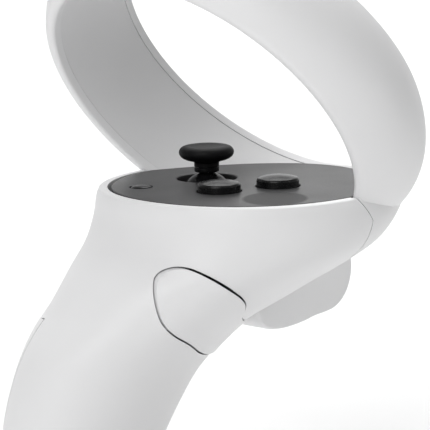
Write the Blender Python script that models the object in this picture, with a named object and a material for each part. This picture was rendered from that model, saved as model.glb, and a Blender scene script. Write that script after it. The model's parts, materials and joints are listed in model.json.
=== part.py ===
"""Left-hand motion controller: tracking ring, thumb face, trigger, grip button and handle.

Row frame: origin at the centre of the face plate's top surface, +Z out of the plate,
+Y to the front (the ring's side), +X to the inner side (buttons and grip button).
Lengths below are in millimetres; MM turns them into metres.
"""

import math

import bmesh
import bpy
import numpy as np
from mathutils import Matrix, Vector

MM = 0.001
GAP = 0.3

# Housing
WALL = 2.2
PLATE_R = 33.6
PLATE_THICK = 2.0
LEAN = 0.33
SECTION_POWER = 2.1
BODY_SIDES = 48
# height, centre y, half width, half depth to the front, half depth to the rear
BODY_STATIONS = (
    (0.0, 0.0, 35.8, 35.8, 35.8),
    (-1.0, 0.0, 36.4, 36.4, 36.4),
    (-4.0, 0.0, 37.0, 36.6, 37.0),
    (-8.0, -1.0, 36.6, 35.2, 37.2),
    (-13.0, -4.0, 34.8, 34.4, 37.3),
    (-18.0, -10.0, 31.2, 35.2, 36.5),
    (-22.0, -15.5, 28.0, 33.8, 34.5),
    (-26.0, -21.0, 25.4, 30.5, 32.0),
    (-30.0, -27.0, 23.0, 27.0, 29.5),
    (-35.0, -32.0, 20.8, 26.0, 28.0),
    (-42.0, -37.0, 18.8, 23.7, 26.0),
    (-50.0, -41.0, 17.6, 22.5, 24.0),
    (-58.0, -43.8, 16.8, 20.3, 22.0),
    (-66.0, -46.3, 16.1, 18.8, 19.5),
    (-74.0, -48.8, 15.2, 17.1, 16.9),
    (-82.0, -51.0, 13.8, 15.0, 14.4),
    (-87.0, -52.3, 11.6, 12.4, 11.8),
    (-89.6, -53.0, 8.6, 9.2, 8.6),
)

# Ring
RING_TILT = math.radians(51.3)
RING_REAR_CENTRE = Vector((0.0, -16.3, 19.0))
RING_WIDTH = 27.6
RING_SKEW = 5.3
RING_IN_REAR, RING_IN_FRONT = 41.8, 40.7
RING_OUT_REAR, RING_OUT_FRONT = 44.2, 42.6
RING_BULGE = 6.5
RING_RIM = 0.085
RING_SIDES = 64

# Controls on the face
STICK_XY = (-13.7, -0.3)
STICK_PIVOT_Z = -5.0
STICK_HOLE_R = 7.4
BUTTON_X_XY = (2.4, -13.0)
BUTTON_Y_XY = (8.6, 1.2)
BUTTON_R = 5.2
BUTTON_TOP = 2.1
BUTTON_DOME = 0.65
MENU_XY = (-17.1, -20.0)
MENU_R = 2.6

# Trigger and grip button
TRIGGER_PIVOT = (0.0, 13.0, -19.6)
TRIGGER_HALF = 11.2
TRIGGER_ARC = 23.6
EAR_NEAR, EAR_FAR = 8.2, 9.4
GRIP_AXIS_TOP = Vector((6.6, -38.0, -13.6))
GRIP_AXIS_END = Vector((4.4, -41.0, -29.0))
GRIP_PROUD = 0.7  # how far the button stands out of the body
GRIP_TURN = math.radians(20.0)  # how far its direction is turned from +X to the rear
GRIP_START = 1.0  # how deep its plug reaches, along that direction
GRIP_WINDOW = -2.5  # how deep the body's window is cut, past the plug's travel
GRIP_SWEEP = (2.0, 4.0, 6.0)  # degrees of squeeze at which its room is cut
GRIP_PIN_R = 0.9
GRIP_BOSS_R = 2.2
GRIP_BOSS_HALF = 1.0
GRIP_ARMS = ((0.29, 8.2), (0.80, 7.4))  # place along the axis, reach out to the button's wall

# Handle axis and battery
HANDLE_TOP = Vector((-10.6, -32.5, -36.0))
HANDLE_DIR = Vector((-0.13, -0.40, -0.907)).normalized()
BATTERY_R = 7.25
BATTERY_LEN = 46.0
DOOR_SPLIT = 8.6

WHITE = (0.84, 0.84, 0.85)
DARK = (0.10, 0.10, 0.105)
BLACK = (0.015, 0.015, 0.017)
GREEN = (0.02, 0.16, 0.07)
STEEL = (0.62, 0.62, 0.64)
GREY = (0.35, 0.35, 0.37)


def clear_scene():
    for old in list(bpy.data.objects):
        bpy.data.objects.remove(old, do_unlink=True)


def material(name, colour, roughness=0.5, metallic=0.0):
    made = bpy.data.materials.new(name)
    made.use_nodes = True
    shader = made.node_tree.nodes["Principled BSDF"]
    shader.inputs["Base Color"].default_value = (*colour, 1.0)
    shader.inputs["Roughness"].default_value = roughness
    shader.inputs["Metallic"].default_value = metallic
    return made


def finish(name, mesh, colour=None, roughness=0.5, metallic=0.0, origin=(0, 0, 0), smooth=True):
    """An object named NAME from a bmesh in millimetres, its origin moved to ORIGIN."""
    bmesh.ops.remove_doubles(mesh, verts=mesh.verts, dist=0.0005)
    bmesh.ops.recalc_face_normals(mesh, faces=mesh.faces)
    bmesh.ops.transform(
        mesh,
        matrix=Matrix.Scale(MM, 4) @ Matrix.Translation(-Vector(origin)),
        verts=mesh.verts,
    )
    data = bpy.data.meshes.new(name)
    mesh.to_mesh(data)
    mesh.free()
    made = bpy.data.objects.new(name, data)
    made.location = Vector(origin) * MM
    bpy.context.scene.collection.objects.link(made)
    if smooth:
        data.shade_smooth()
    if colour is not None:
        data.materials.append(material(name, colour, roughness, metallic))
    return made


def cutter(name, mesh):
    made = finish(name, mesh, smooth=False)
    made.hide_render = True
    made.display_type = "WIRE"
    return made


def boolean(target, tool, operation, solver="EXACT"):
    step = target.modifiers.new(tool.name, "BOOLEAN")
    step.operation = operation
    step.solver = solver
    step.object = tool
    return step


def cut(target, *tools):
    for tool in tools:
        boolean(target, tool, "DIFFERENCE")


def loft(mesh, rings):
    """Closed rings of points joined side by side, with flat caps on both ends."""
    rows = [[mesh.verts.new(point) for point in ring] for ring in rings]
    count = len(rows[0])
    for low, high in zip(rows, rows[1:]):
        for i in range(count):
            j = (i + 1) % count
            mesh.faces.new((low[i], low[j], high[j], high[i]))
    mesh.faces.new(rows[0])
    mesh.faces.new(rows[-1])


def turned(mesh, profile, centre, axis=(0, 0, 1), sides=32):
    """A solid of revolution: PROFILE holds (radius, height) from one end to the other."""
    turn = Vector(axis).to_track_quat("Z", "Y").to_matrix()
    base = Vector(centre)
    rows = []
    for radius, height in profile:
        if radius < 1e-6:
            rows.append([mesh.verts.new(base + turn @ Vector((0, 0, height)))])
            continue
        rows.append([
            mesh.verts.new(base + turn @ Vector((
                radius * math.cos(2 * math.pi * k / sides),
                radius * math.sin(2 * math.pi * k / sides),
                height,
            )))
            for k in range(sides)
        ])
    for low, high in zip(rows, rows[1:]):
        for k in range(sides):
            j = (k + 1) % sides
            face = [low[k % len(low)], low[j % len(low)], high[j % len(high)], high[k % len(high)]]
            face = list(dict.fromkeys(face))
            if len(face) > 2:
                mesh.faces.new(face)
    for row in (rows[0], rows[-1]):
        if len(row) > 1:
            mesh.faces.new(row)


def tube(mesh, profile, centre, axis=(0, 0, 1), sides=32):
    """A ring-shaped solid of revolution whose PROFILE of (radius, height) closes on itself."""
    turn = Vector(axis).to_track_quat("Z", "Y").to_matrix()
    base = Vector(centre)
    rows = [
        [
            mesh.verts.new(base + turn @ Vector((
                radius * math.cos(2 * math.pi * k / sides),
                radius * math.sin(2 * math.pi * k / sides),
                height,
            )))
            for k in range(sides)
        ]
        for radius, height in profile
    ]
    for low, high in zip(rows, rows[1:] + rows[:1]):
        for k in range(sides):
            j = (k + 1) % sides
            mesh.faces.new((low[k], low[j], high[j], high[k]))


def cylinder(mesh, radius, start, end, sides=24):
    way = Vector(end) - Vector(start)
    turned(mesh, ((radius, 0), (radius, way.length)), start, way, sides)


def box(mesh, low, high, frame=None):
    """A box between two corners, in the axes of FRAME when one is given."""
    corners = [
        Vector((x, y, z))
        for z in (low[2], high[2])
        for x, y in ((low[0], low[1]), (high[0], low[1]), (high[0], high[1]), (low[0], high[1]))
    ]
    points = [frame @ corner if frame else corner for corner in corners]
    loft(mesh, (points[:4], points[4:]))


def prism(mesh, outline, start, end, axis="X"):
    """OUTLINE pushed along an axis: pairs are (y, z) for X and (x, y) for Z."""
    if axis == "X":
        rings = [[Vector((along, a, b)) for a, b in outline] for along in (start, end)]
    else:
        rings = [[Vector((a, b, along)) for a, b in outline] for along in (start, end)]
    loft(mesh, rings)


def rounded(outline, turns=2):
    """Corner cutting on a closed outline, which leaves a smooth closed curve."""
    points = [Vector(point) for point in outline]
    for _ in range(turns):
        points = [
            a.lerp(b, share)
            for a, b in zip(points, points[1:] + points[:1])
            for share in (0.25, 0.75)
        ]
    return [tuple(point) for point in points]


def body_section(height, grow=0.0):
    heights = [-row[0] for row in BODY_STATIONS]
    centre, half, front, rear = (
        float(np.interp(-height, heights, [row[k] for row in BODY_STATIONS])) for k in range(1, 5)
    )
    return centre, half + grow, front + grow, rear + grow


def body_ring(height, place, grow=0.0):
    """A horizontal section of the body at HEIGHT, its points laid at the height PLACE."""
    centre, half, front, rear = body_section(height, grow)
    points = []
    for k in range(BODY_SIDES):
        angle = 2 * math.pi * k / BODY_SIDES
        c, s = math.cos(angle), math.sin(angle)
        across = half * math.copysign(abs(c) ** (2 / SECTION_POWER), c)
        along = (front if s > 0 else rear) * math.copysign(abs(s) ** (2 / SECTION_POWER), s)
        points.append(Vector((LEAN * centre + across, centre + along, place)))
    return points


def body_heights(top, bottom):
    """The heights of every station between two ends, and the ends themselves."""
    return [top, *(row[0] for row in BODY_STATIONS if bottom < row[0] < top), bottom]


def body_outer(grow=0.0):
    mesh = bmesh.new()
    bottom = BODY_STATIONS[-1][0]
    rings = [body_ring(z, z, grow) for z in body_heights(0.0, bottom)]
    rings.append(body_ring(bottom, bottom - 0.4, grow - 0.8))
    loft(mesh, rings)
    return mesh


def body_inner(wall=WALL):
    mesh = bmesh.new()
    rings = [
        [Vector((p.x * k, p.y * k, z)) for p in body_ring(-1.0, 0.0)]
        for z, k in ((4.0, 33.95 / 36.4), (-2.2, 33.95 / 36.4))
    ]
    rings += [body_ring(z, z, -wall) for z in body_heights(-3.4, -86.0)]
    loft(mesh, rings)
    return mesh


# The ring's own axes: its axle, and downhill in its plane
RING_AXLE = Vector((0.0, math.sin(RING_TILT), math.cos(RING_TILT)))
RING_DOWN = Vector((0.0, math.cos(RING_TILT), -math.sin(RING_TILT)))
RING_SIDE = Vector((1.0, 0.0, 0.0))


def ring_point(share, radius, angle):
    """A point at SHARE of the ring's width from its rear rim; angle 0 is the ring's lowest point."""
    centre = RING_REAR_CENTRE + share * (RING_WIDTH * RING_AXLE + RING_SKEW * RING_DOWN)
    return centre + radius * (math.cos(angle) * RING_DOWN + math.sin(angle) * RING_SIDE)


def ring_inside(share):
    return RING_IN_REAR + (RING_IN_FRONT - RING_IN_REAR) * share


def ring_outside(share):
    crown = 4 * RING_BULGE * max(0.0, share * (1 - share))
    return RING_OUT_REAR + (RING_OUT_FRONT - RING_OUT_REAR) * share + crown


def ring_solid(profile, sides=RING_SIDES):
    """A closed band: PROFILE holds (share of width, radius) pairs round its section."""
    mesh = bmesh.new()
    rows = [
        [mesh.verts.new(ring_point(share, radius, 2 * math.pi * k / sides)) for k in range(sides)]
        for share, radius in profile
    ]
    for low, high in zip(rows, rows[1:] + rows[:1]):
        for k in range(sides):
            j = (k + 1) % sides
            mesh.faces.new((low[k], low[j], high[j], high[k]))
    return mesh


def shares(start, end, count):
    return [start + (end - start) * k / (count - 1) for k in range(count)]


def ring_blank():
    """The ring's outside, with a thick inner wall that ring_void then hollows out."""
    outer = [(share, ring_outside(share)) for share in shares(0.02, 0.98, 8)]
    profile = [(0.0, RING_IN_REAR - 3.0), (0.0, RING_OUT_REAR - 0.5), *outer]
    profile += [(1.0, RING_OUT_FRONT - 0.5), (1.0, RING_IN_FRONT - 3.0)]
    return ring_solid(profile)


def ring_void():
    """The ring's hole with rounded edges, and the channel behind its inner cover."""
    edge, skin, step = RING_RIM, 1.8, 0.002
    rows = [(-0.06, RING_IN_REAR + 1.6), (0.0, RING_IN_REAR + 0.7), (0.025, ring_inside(0.025))]
    rows.append((edge, ring_inside(edge)))
    rows += [(share, ring_outside(share) - skin) for share in shares(edge + step, 1 - edge - step, 5)]
    rows += [(1 - edge, ring_inside(1 - edge)), (0.975, ring_inside(0.975))]
    rows += [(1.0, RING_IN_FRONT + 0.7), (1.06, RING_IN_FRONT + 1.6)]
    mesh = bmesh.new()
    loft(mesh, [
        [ring_point(s, r, 2 * math.pi * (k + 0.5) / RING_SIDES) for k in range(RING_SIDES)]
        for s, r in rows
    ])
    return cutter("ring_void", mesh)


def ring_keepout(grow=0.35):
    """Everything from the ring's inner face outwards, for trimming what lies in its way."""
    mesh = ring_solid(
        [(-0.015, ring_inside(-0.015) - grow), (-0.015, 66.0), (1.25, 66.0),
         (1.25, ring_inside(1.25) - grow)],
        48,
    )
    return cutter("ring_keepout", mesh)


def ring_clearance(grow=0.35):
    outer = [(s, ring_outside(s) + grow) for s in shares(-0.012, 1.012, 7)]
    inner = [(s, ring_inside(s) - grow) for s in (1.012, -0.012)]
    return cutter("ring_clearance", ring_solid(outer + inner, 56))


def behind_ring():
    """The half space on the rear side of the ring's rear rim, with a bite of the rim itself."""
    mesh = bmesh.new()
    turn = Matrix((RING_SIDE, RING_DOWN, RING_AXLE)).transposed().to_4x4()
    frame = Matrix.Translation(RING_REAR_CENTRE) @ turn
    box(mesh, (-90.0, -90.0, -90.0), (90.0, 90.0, 0.03 * RING_WIDTH), frame)
    return mesh


def front_region(shift=0.0):
    """The part of the head that belongs to the ring's moulding, ahead of the side seam."""
    mesh = bmesh.new()
    outline = (
        (-1.4 - shift, 3.0), (-1.4 - shift, 0.0), (3.6 - shift, -6.0), (3.8 - shift, -15.4 - shift),
        (60.0, -15.4 - shift), (60.0, 3.0),
    )
    prism(mesh, outline, -60.0, 60.0)
    return mesh


def handle_frame():
    """Axes of the handle: local Z runs down it, local X to the inner side."""
    z = HANDLE_DIR
    x = (Vector((1, 0, 0)) - Vector((1, 0, 0)).dot(z) * z).normalized()
    y = z.cross(x)
    turn = Matrix((x, y, z)).transposed().to_4x4()
    return Matrix.Translation(HANDLE_TOP) @ turn


def door_block(gap):
    mesh = bmesh.new()
    box(mesh, (-45.0, -45.0, 1.0 + gap), (-DOOR_SPLIT - gap, 45.0, 90.0), handle_frame())
    return mesh


GRIP_OUTLINE = rounded((
    (-37.6, -18.4), (-36.0, -15.0), (-31.4, -13.1), (-27.8, -14.9), (-22.0, -18.9), (-17.6, -21.9),
    (-15.4, -24.4), (-14.6, -28.4), (-9.0, -31.0), (-10.4, -34.0), (-14.5, -38.4), (-22.0, -37.0),
    (-27.6, -32.6), (-33.0, -29.5), (-36.4, -26.2), (-37.6, -22.4),
), 2)


def grown(outline, by):
    """OUTLINE pushed outwards by BY along the bisector of each corner."""
    points = [Vector(point) for point in outline]
    area = sum(a.x * b.y - b.x * a.y for a, b in zip(points, points[1:] + points[:1]))
    sign = 1.0 if area > 0 else -1.0
    out = []
    for before, here, after in zip(points[-1:] + points[:-1], points, points[1:] + points[:1]):
        way = (after - before).normalized()
        out.append(tuple(here + by * sign * Vector((way.y, -way.x))))
    return out


def grip_prism(by, start):
    """The grip button's outline pushed outwards, along +X turned a little to the rear."""
    mesh = bmesh.new()
    prism(mesh, grown(GRIP_OUTLINE, by), start, 60.0)
    turn = Matrix.Rotation(-GRIP_TURN, 3, "Z")
    bmesh.ops.rotate(mesh, cent=(0, 0, 0), matrix=turn, verts=mesh.verts)
    return mesh


def grip_room(degrees):
    """The space that the grip button and its gap take when it is squeezed by so many degrees."""
    hinge = Matrix.Translation(GRIP_AXIS_TOP * MM)
    turn = Matrix.Rotation(math.radians(degrees), 4, GRIP_AXIS_TOP - GRIP_AXIS_END)
    room = cutter(f"grip_room_{degrees:.0f}", body_outer(GRIP_PROUD))
    limit = cutter(f"grip_limit_{degrees:.0f}", grip_prism(0.4, GRIP_START - GAP))
    boolean(room, limit, "INTERSECT")
    for piece in (room, limit):
        piece.matrix_world = hinge @ turn @ hinge.inverted()
    return room


def trigger_outline():
    """Side view (y, z): knuckle on top, finger hook below, rear edge on the pull arc."""
    _, py, pz = TRIGGER_PIVOT
    arc = [
        (py - TRIGGER_ARC * math.cos(math.radians(a)), pz - TRIGGER_ARC * math.sin(math.radians(a)))
        for a in (12, 18, 24, 30, 36)
    ]
    under = [(-3.4, -35.0), (0.5, -35.8), (5.0, -35.8), (9.5, -35.4), (14.0, -34.6), (19.0, -34.4),
             (24.0, -33.8), (28.0, -31.6), (30.2, -27.6), (30.2, -22.6)]
    top = [(27.4, -18.2), (21.6, -17.4), (15.6, -16.9), (10.6, -16.9), (8.0, -19.6), (1.0, -23.2)]
    return [*arc, *under, *top]


def make_ring_outer_shell():
    shell = finish("ring_outer_shell", ring_blank(), WHITE, 0.42)
    front = finish("front_shell_piece", body_outer(), smooth=False)
    hollow = cutter("front_hollow", body_inner())
    boolean(hollow, cutter("behind_ring", behind_ring()), "INTERSECT")
    region = cutter("front_region", front_region())
    boolean(front, region, "INTERSECT")
    cut(front, hollow)
    front.hide_render = True
    front.display_type = "WIRE"
    boolean(shell, front, "UNION")
    cut(shell, ring_void())
    return shell


def make_ring_inner_cover():
    start, end = RING_RIM + 0.011, 1 - RING_RIM - 0.011
    profile = [(start, ring_inside(start) + 1.3), (start, ring_inside(start) + 0.1)]
    profile += [(end, ring_inside(end) + 0.1), (end, ring_inside(end) + 1.3)]
    finish("ring_inner_cover", ring_solid(profile), WHITE, 0.45)


def make_ring_led_strip():
    strip = ring_solid([
        (0.30, ring_inside(0.30) + 1.7), (0.62, ring_inside(0.62) + 1.7),
        (0.62, ring_inside(0.62) + 2.0), (0.30, ring_inside(0.30) + 2.0),
    ], 48)
    made = finish("ring_led_strip", strip, (0.45, 0.30, 0.08), 0.5, smooth=False)
    lamps = bmesh.new()
    for k in range(15):
        angle = 2 * math.pi * (k + 0.5) / 15
        centre = ring_point(0.46, ring_inside(0.46) + 2.3, angle)
        radial = ring_point(0.46, 60.0, angle) - centre
        cylinder(lamps, 1.1, centre - 0.5 * radial.normalized(), centre + radial.normalized(), 6)
    boolean(made, cutter("led_lamps", lamps), "UNION")


def make_housing(clearance):
    shell = finish("housing_shell", body_outer(), WHITE, 0.42)
    mouth = bmesh.new()
    prism(mesh=mouth, outline=mouth_outline(), start=-TRIGGER_HALF - 0.5, end=TRIGGER_HALF + 0.5)
    slot = bmesh.new()
    box(slot, (-22.5, -58.4, -96.0), (-12.5, -55.2, -84.0))
    cut(
        shell,
        cutter("housing_hollow", body_inner()),
        cutter("door_zone", door_block(0.0)),
        cutter("grip_window", grip_prism(0.4, GRIP_WINDOW)),
        cutter("lanyard_slot", slot),
        cutter("front_zone", front_region(GAP)),
        clearance,
        cutter("trigger_mouth", mouth),
        *[grip_room(degrees) for degrees in GRIP_SWEEP],
    )


def mouth_outline():
    """The trigger's way through the housing: its rear edge follows the pull arc."""
    _, py, pz = TRIGGER_PIVOT
    radius = TRIGGER_ARC + 0.5
    arc = [
        (py - radius * math.cos(math.radians(a)), pz - radius * math.sin(math.radians(a)))
        for a in (4, 11, 18, 25, 32, 38)
    ]
    return [*arc, (-2.0, -44.0), (36.0, -44.0), (36.0, -15.0), (-4.0, -15.0)]


def make_battery_door():
    door = finish("battery_door", body_outer(), WHITE, 0.42)
    boolean(door, cutter("door_block", door_block(GAP)), "INTERSECT")
    cut(door, cutter("door_hollow", body_inner()))


def face_hole(tools, name, centre, radius, low, high, sides=28):
    mesh = bmesh.new()
    cylinder(mesh, radius, (*centre, low), (*centre, high), sides)
    tools.append(cutter(name, mesh))


def make_face_plate(keep):
    mesh = bmesh.new()
    turned(
        mesh,
        ((PLATE_R - 0.2, -PLATE_THICK), (PLATE_R, -PLATE_THICK + 0.3), (PLATE_R, -0.3),
         (PLATE_R - 0.3, 0.0)),
        (0, 0, 0), sides=72,
    )
    plate = finish("face_plate", mesh, DARK, 0.38)
    holes = []
    face_hole(holes, "stick_hole", STICK_XY, STICK_HOLE_R, -5, 5)
    face_hole(holes, "button_x_hole", BUTTON_X_XY, BUTTON_R + 0.3, -5, 5)
    face_hole(holes, "button_y_hole", BUTTON_Y_XY, BUTTON_R + 0.3, -5, 5)
    face_hole(holes, "menu_hole", MENU_XY, MENU_R + 0.3, -5, 5)
    cut(plate, keep, *holes)


FRAME_SCREWS = ((-24.5, 3.5), (24.5, -10.0), (-9.0, -26.5), (14.0, -23.0))


def make_inner_frame(keep):
    mesh = bmesh.new()
    turned(mesh, ((32.4, -4.3), (32.4, -2.3)), (0, 0, 0), sides=40)
    frame = finish("inner_frame", mesh, GREY, 0.6, smooth=False)
    holes = []
    face_hole(holes, "frame_stick_hole", STICK_XY, STICK_HOLE_R + 0.6, -9, 3)
    face_hole(holes, "frame_x_hole", BUTTON_X_XY, BUTTON_R + 1.5, -9, 3)
    face_hole(holes, "frame_y_hole", BUTTON_Y_XY, BUTTON_R + 1.5, -9, 3)
    face_hole(holes, "frame_menu_hole", MENU_XY, MENU_R + 1.3, -9, 3)
    for k, spot in enumerate(FRAME_SCREWS):
        face_hole(holes, f"frame_screw_hole_{k + 1}", spot, 1.1, -9, 3, 10)
    cut(frame, keep, *holes)
    for k, spot in enumerate(FRAME_SCREWS):
        mesh = bmesh.new()
        turned(mesh, ((0.0, -2.55), (0.7, -2.6), (0.7, -4.65), (1.7, -4.7), (1.7, -5.8), (0.0, -5.8)),
               (*spot, 0.0), sides=12)
        finish(f"frame_screw_{k + 1}", mesh, STEEL, 0.3, 1.0)


def button_mesh(radius, top, travel_flange, centre, dome):
    mesh = bmesh.new()
    profile = (
        (0.0, -3.2), (radius + travel_flange, -3.2), (radius + travel_flange, -2.4), (radius, -2.4),
        (radius, top - 0.6), (radius - 0.2, top - 0.2), (radius - 0.6, top),
        (radius * 0.5, top + 0.7 * dome), (0.0, top + dome),
    )
    turned(mesh, profile, (*centre, 0.0), sides=24)
    return mesh


def make_buttons():
    for name, centre in (("button_x", BUTTON_X_XY), ("button_y", BUTTON_Y_XY)):
        mesh = button_mesh(BUTTON_R, BUTTON_TOP, 0.9, centre, BUTTON_DOME)
        finish(name, mesh, BLACK, 0.3, origin=(*centre, 0.0))
    mesh = button_mesh(MENU_R, 0.25, 0.7, MENU_XY, 0.12)
    finish("menu_button", mesh, BLACK, 0.4, origin=(*MENU_XY, 0.0))


def make_button_stack(keep):
    """Silicone mat, switch board and three dome switches below the buttons."""
    mesh = bmesh.new()
    outline = rounded(((-3.4, -20.0), (9.0, -20.0), (16.0, -6.0), (16.0, 8.5), (1.5, 8.5), (-3.4, -4.0)))
    prism(mesh, outline, -6.0, -5.0, "Z")
    mat = finish("button_mat", mesh, (0.55, 0.55, 0.57), 0.8, smooth=False)
    mesh = bmesh.new()
    prism(mesh, grown(outline, 0.6), -8.4, -7.4, "Z")
    board = finish("button_board", mesh, GREEN, 0.5, smooth=False)
    cut(mat, keep)
    cut(board, keep)
    for name, spot, base in (
        ("dome_switch_x", BUTTON_X_XY, -7.1), ("dome_switch_y", BUTTON_Y_XY, -7.1),
        ("dome_switch_menu", MENU_XY, -11.0),
    ):
        mesh = bmesh.new()
        tall = 0.7 if base > -8 else 5.6
        turned(mesh, ((0.0, base), (2.2, base), (2.0, base + 0.4 * tall), (0.0, base + tall)),
               (*spot, 0.0), sides=20)
        finish(name, mesh, STEEL, 0.3, 1.0)


def make_stick():
    x, y = STICK_XY
    z = STICK_PIVOT_Z
    pivot = (x, y, z)
    mesh = bmesh.new()
    turned(mesh, (
        (0.0, 12.6), (3.6, 12.8), (4.8, 13.05), (5.9, 12.8), (6.6, 12.1), (6.85, 11.3), (6.5, 10.4),
        (5.6, 9.8), (4.2, 9.4), (3.1, 9.1), (3.1, 7.95), (2.2, 7.95), (2.2, 11.6), (0.0, 11.6),
    ), pivot, sides=32)
    finish("stick_cap", mesh, BLACK, 0.55, origin=pivot)
    mesh = bmesh.new()
    turned(mesh, (
        (0.0, -1.4), (1.5, -1.4), (1.5, 6.6), (3.1, 6.8), (3.1, 7.6), (1.9, 7.6), (1.9, 11.3), (0.0, 11.3),
    ), pivot, sides=20)
    shaft = finish("stick_shaft", mesh, BLACK, 0.5, origin=pivot)
    mesh = bmesh.new()
    cylinder(mesh, 0.6, (x, y - 3.5, z), (x, y + 3.5, z), 12)
    boolean(shaft, cutter("shaft_pin", mesh), "UNION")
    outer = [(6.5 * math.sin(math.radians(a)), 6.5 * math.cos(math.radians(a))) for a in range(90, 17, -18)]
    inner = [(5.8 * math.sin(math.radians(a)), 5.8 * math.cos(math.radians(a))) for a in range(18, 91, 18)]
    mesh = bmesh.new()
    tube(mesh, outer + [(1.85, 6.25), (1.85, 5.55)] + inner, pivot, sides=28)
    finish("stick_skirt", mesh, BLACK, 0.5, origin=pivot)
    make_stick_module(x, y, z)


def make_stick_module(x, y, z):
    """The gimbal: a yoke on X pins, carried by a click slider in a pressed case."""
    mesh = bmesh.new()
    box(mesh, (x - 3.4, y - 3.6, z - 1.0), (x + 3.4, y + 3.6, z + 1.0))
    yoke = finish("stick_yoke", mesh, GREY, 0.5, origin=(x, y, z), smooth=False)
    window = bmesh.new()
    box(window, (x - 2.5, y - 2.7, z - 3.0), (x + 2.5, y + 2.7, z + 3.0))
    pin = bmesh.new()
    cylinder(pin, 0.6, (x - 5.0, y, z), (x + 5.0, y, z), 12)
    bore = bmesh.new()
    cylinder(bore, 0.85, (x, y - 5.0, z), (x, y + 5.0, z), 16)
    boolean(yoke, cutter("yoke_pins", pin), "UNION")
    cut(yoke, cutter("yoke_window", window), cutter("yoke_bore", bore))
    mesh = bmesh.new()
    box(mesh, (x - 5.0, y - 4.2, z - 4.7), (x + 5.0, y + 4.2, z - 3.6))
    slider = finish("stick_slider", mesh, (0.75, 0.75, 0.72), 0.5, origin=(x, y, z), smooth=False)
    for side in (-1, 1):
        post = bmesh.new()
        near, far = sorted((x + side * 3.9, x + side * 4.9))
        box(post, (near, y - 1.4, z - 4.0), (far, y + 1.4, z + 1.5))
        boolean(slider, cutter(f"slider_post_{side + 2}", post), "UNION")
    bore = bmesh.new()
    cylinder(bore, 0.85, (x - 8.0, y, z), (x + 8.0, y, z), 16)
    cut(slider, cutter("slider_bore", bore))
    mesh = bmesh.new()
    box(mesh, (x - 7.2, y - 7.2, z - 6.1), (x + 7.2, y + 7.2, z - 2.4))
    case = finish("stick_module_case", mesh, STEEL, 0.35, 0.9, smooth=False)
    hollow = bmesh.new()
    box(hollow, (x - 6.4, y - 6.4, z - 5.4), (x + 6.4, y + 6.4, z + 2.0))
    cut(case, cutter("case_hollow", hollow))
    for name, low, high in (
        ("stick_sensor_pitch", (x + 7.5, y - 3.4, z - 6.0), (x + 8.9, y + 3.4, z - 3.0)),
        ("stick_sensor_roll", (x - 3.4, y - 8.7, z - 6.0), (x + 3.4, y - 7.5, z - 3.0)),
    ):
        mesh = bmesh.new()
        box(mesh, low, high)
        finish(name, mesh, (0.03, 0.03, 0.03), 0.5, smooth=False)


def make_main_board(keep):
    mesh = bmesh.new()
    turned(mesh, ((28.0, -12.6), (28.0, -11.6)), (-1.0, -7.0, 0.0), sides=64)
    board = finish("main_board", mesh, GREEN, 0.5, smooth=False)
    pocket = bmesh.new()
    box(pocket, (4.0, -60.0, -20.0), (60.0, -36.0, 0.0))
    cut(board, keep, cutter("board_pocket", pocket))
    mesh = bmesh.new()
    box(mesh, (2.0, -22.0, -11.3), (16.0, -10.0, -9.2))
    finish("shield_can", mesh, STEEL, 0.35, 0.9, smooth=False)
    mesh = bmesh.new()
    box(mesh, (-24.0, -24.0, -15.2), (-18.0, -12.0, -12.9))
    finish("battery_connector", mesh, (0.8, 0.8, 0.75), 0.5, smooth=False)
    mesh = bmesh.new()
    box(mesh, (19.0, -24.0, -11.3), (23.0, -10.0, -10.1))
    finish("antenna", mesh, (0.72, 0.70, 0.62), 0.5, smooth=False)
    mesh = bmesh.new()
    box(mesh, (-4.0, -26.0, -16.6), (9.0, -12.0, -12.9))
    finish("haptic_motor", mesh, STEEL, 0.35, 0.9, smooth=False)


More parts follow.
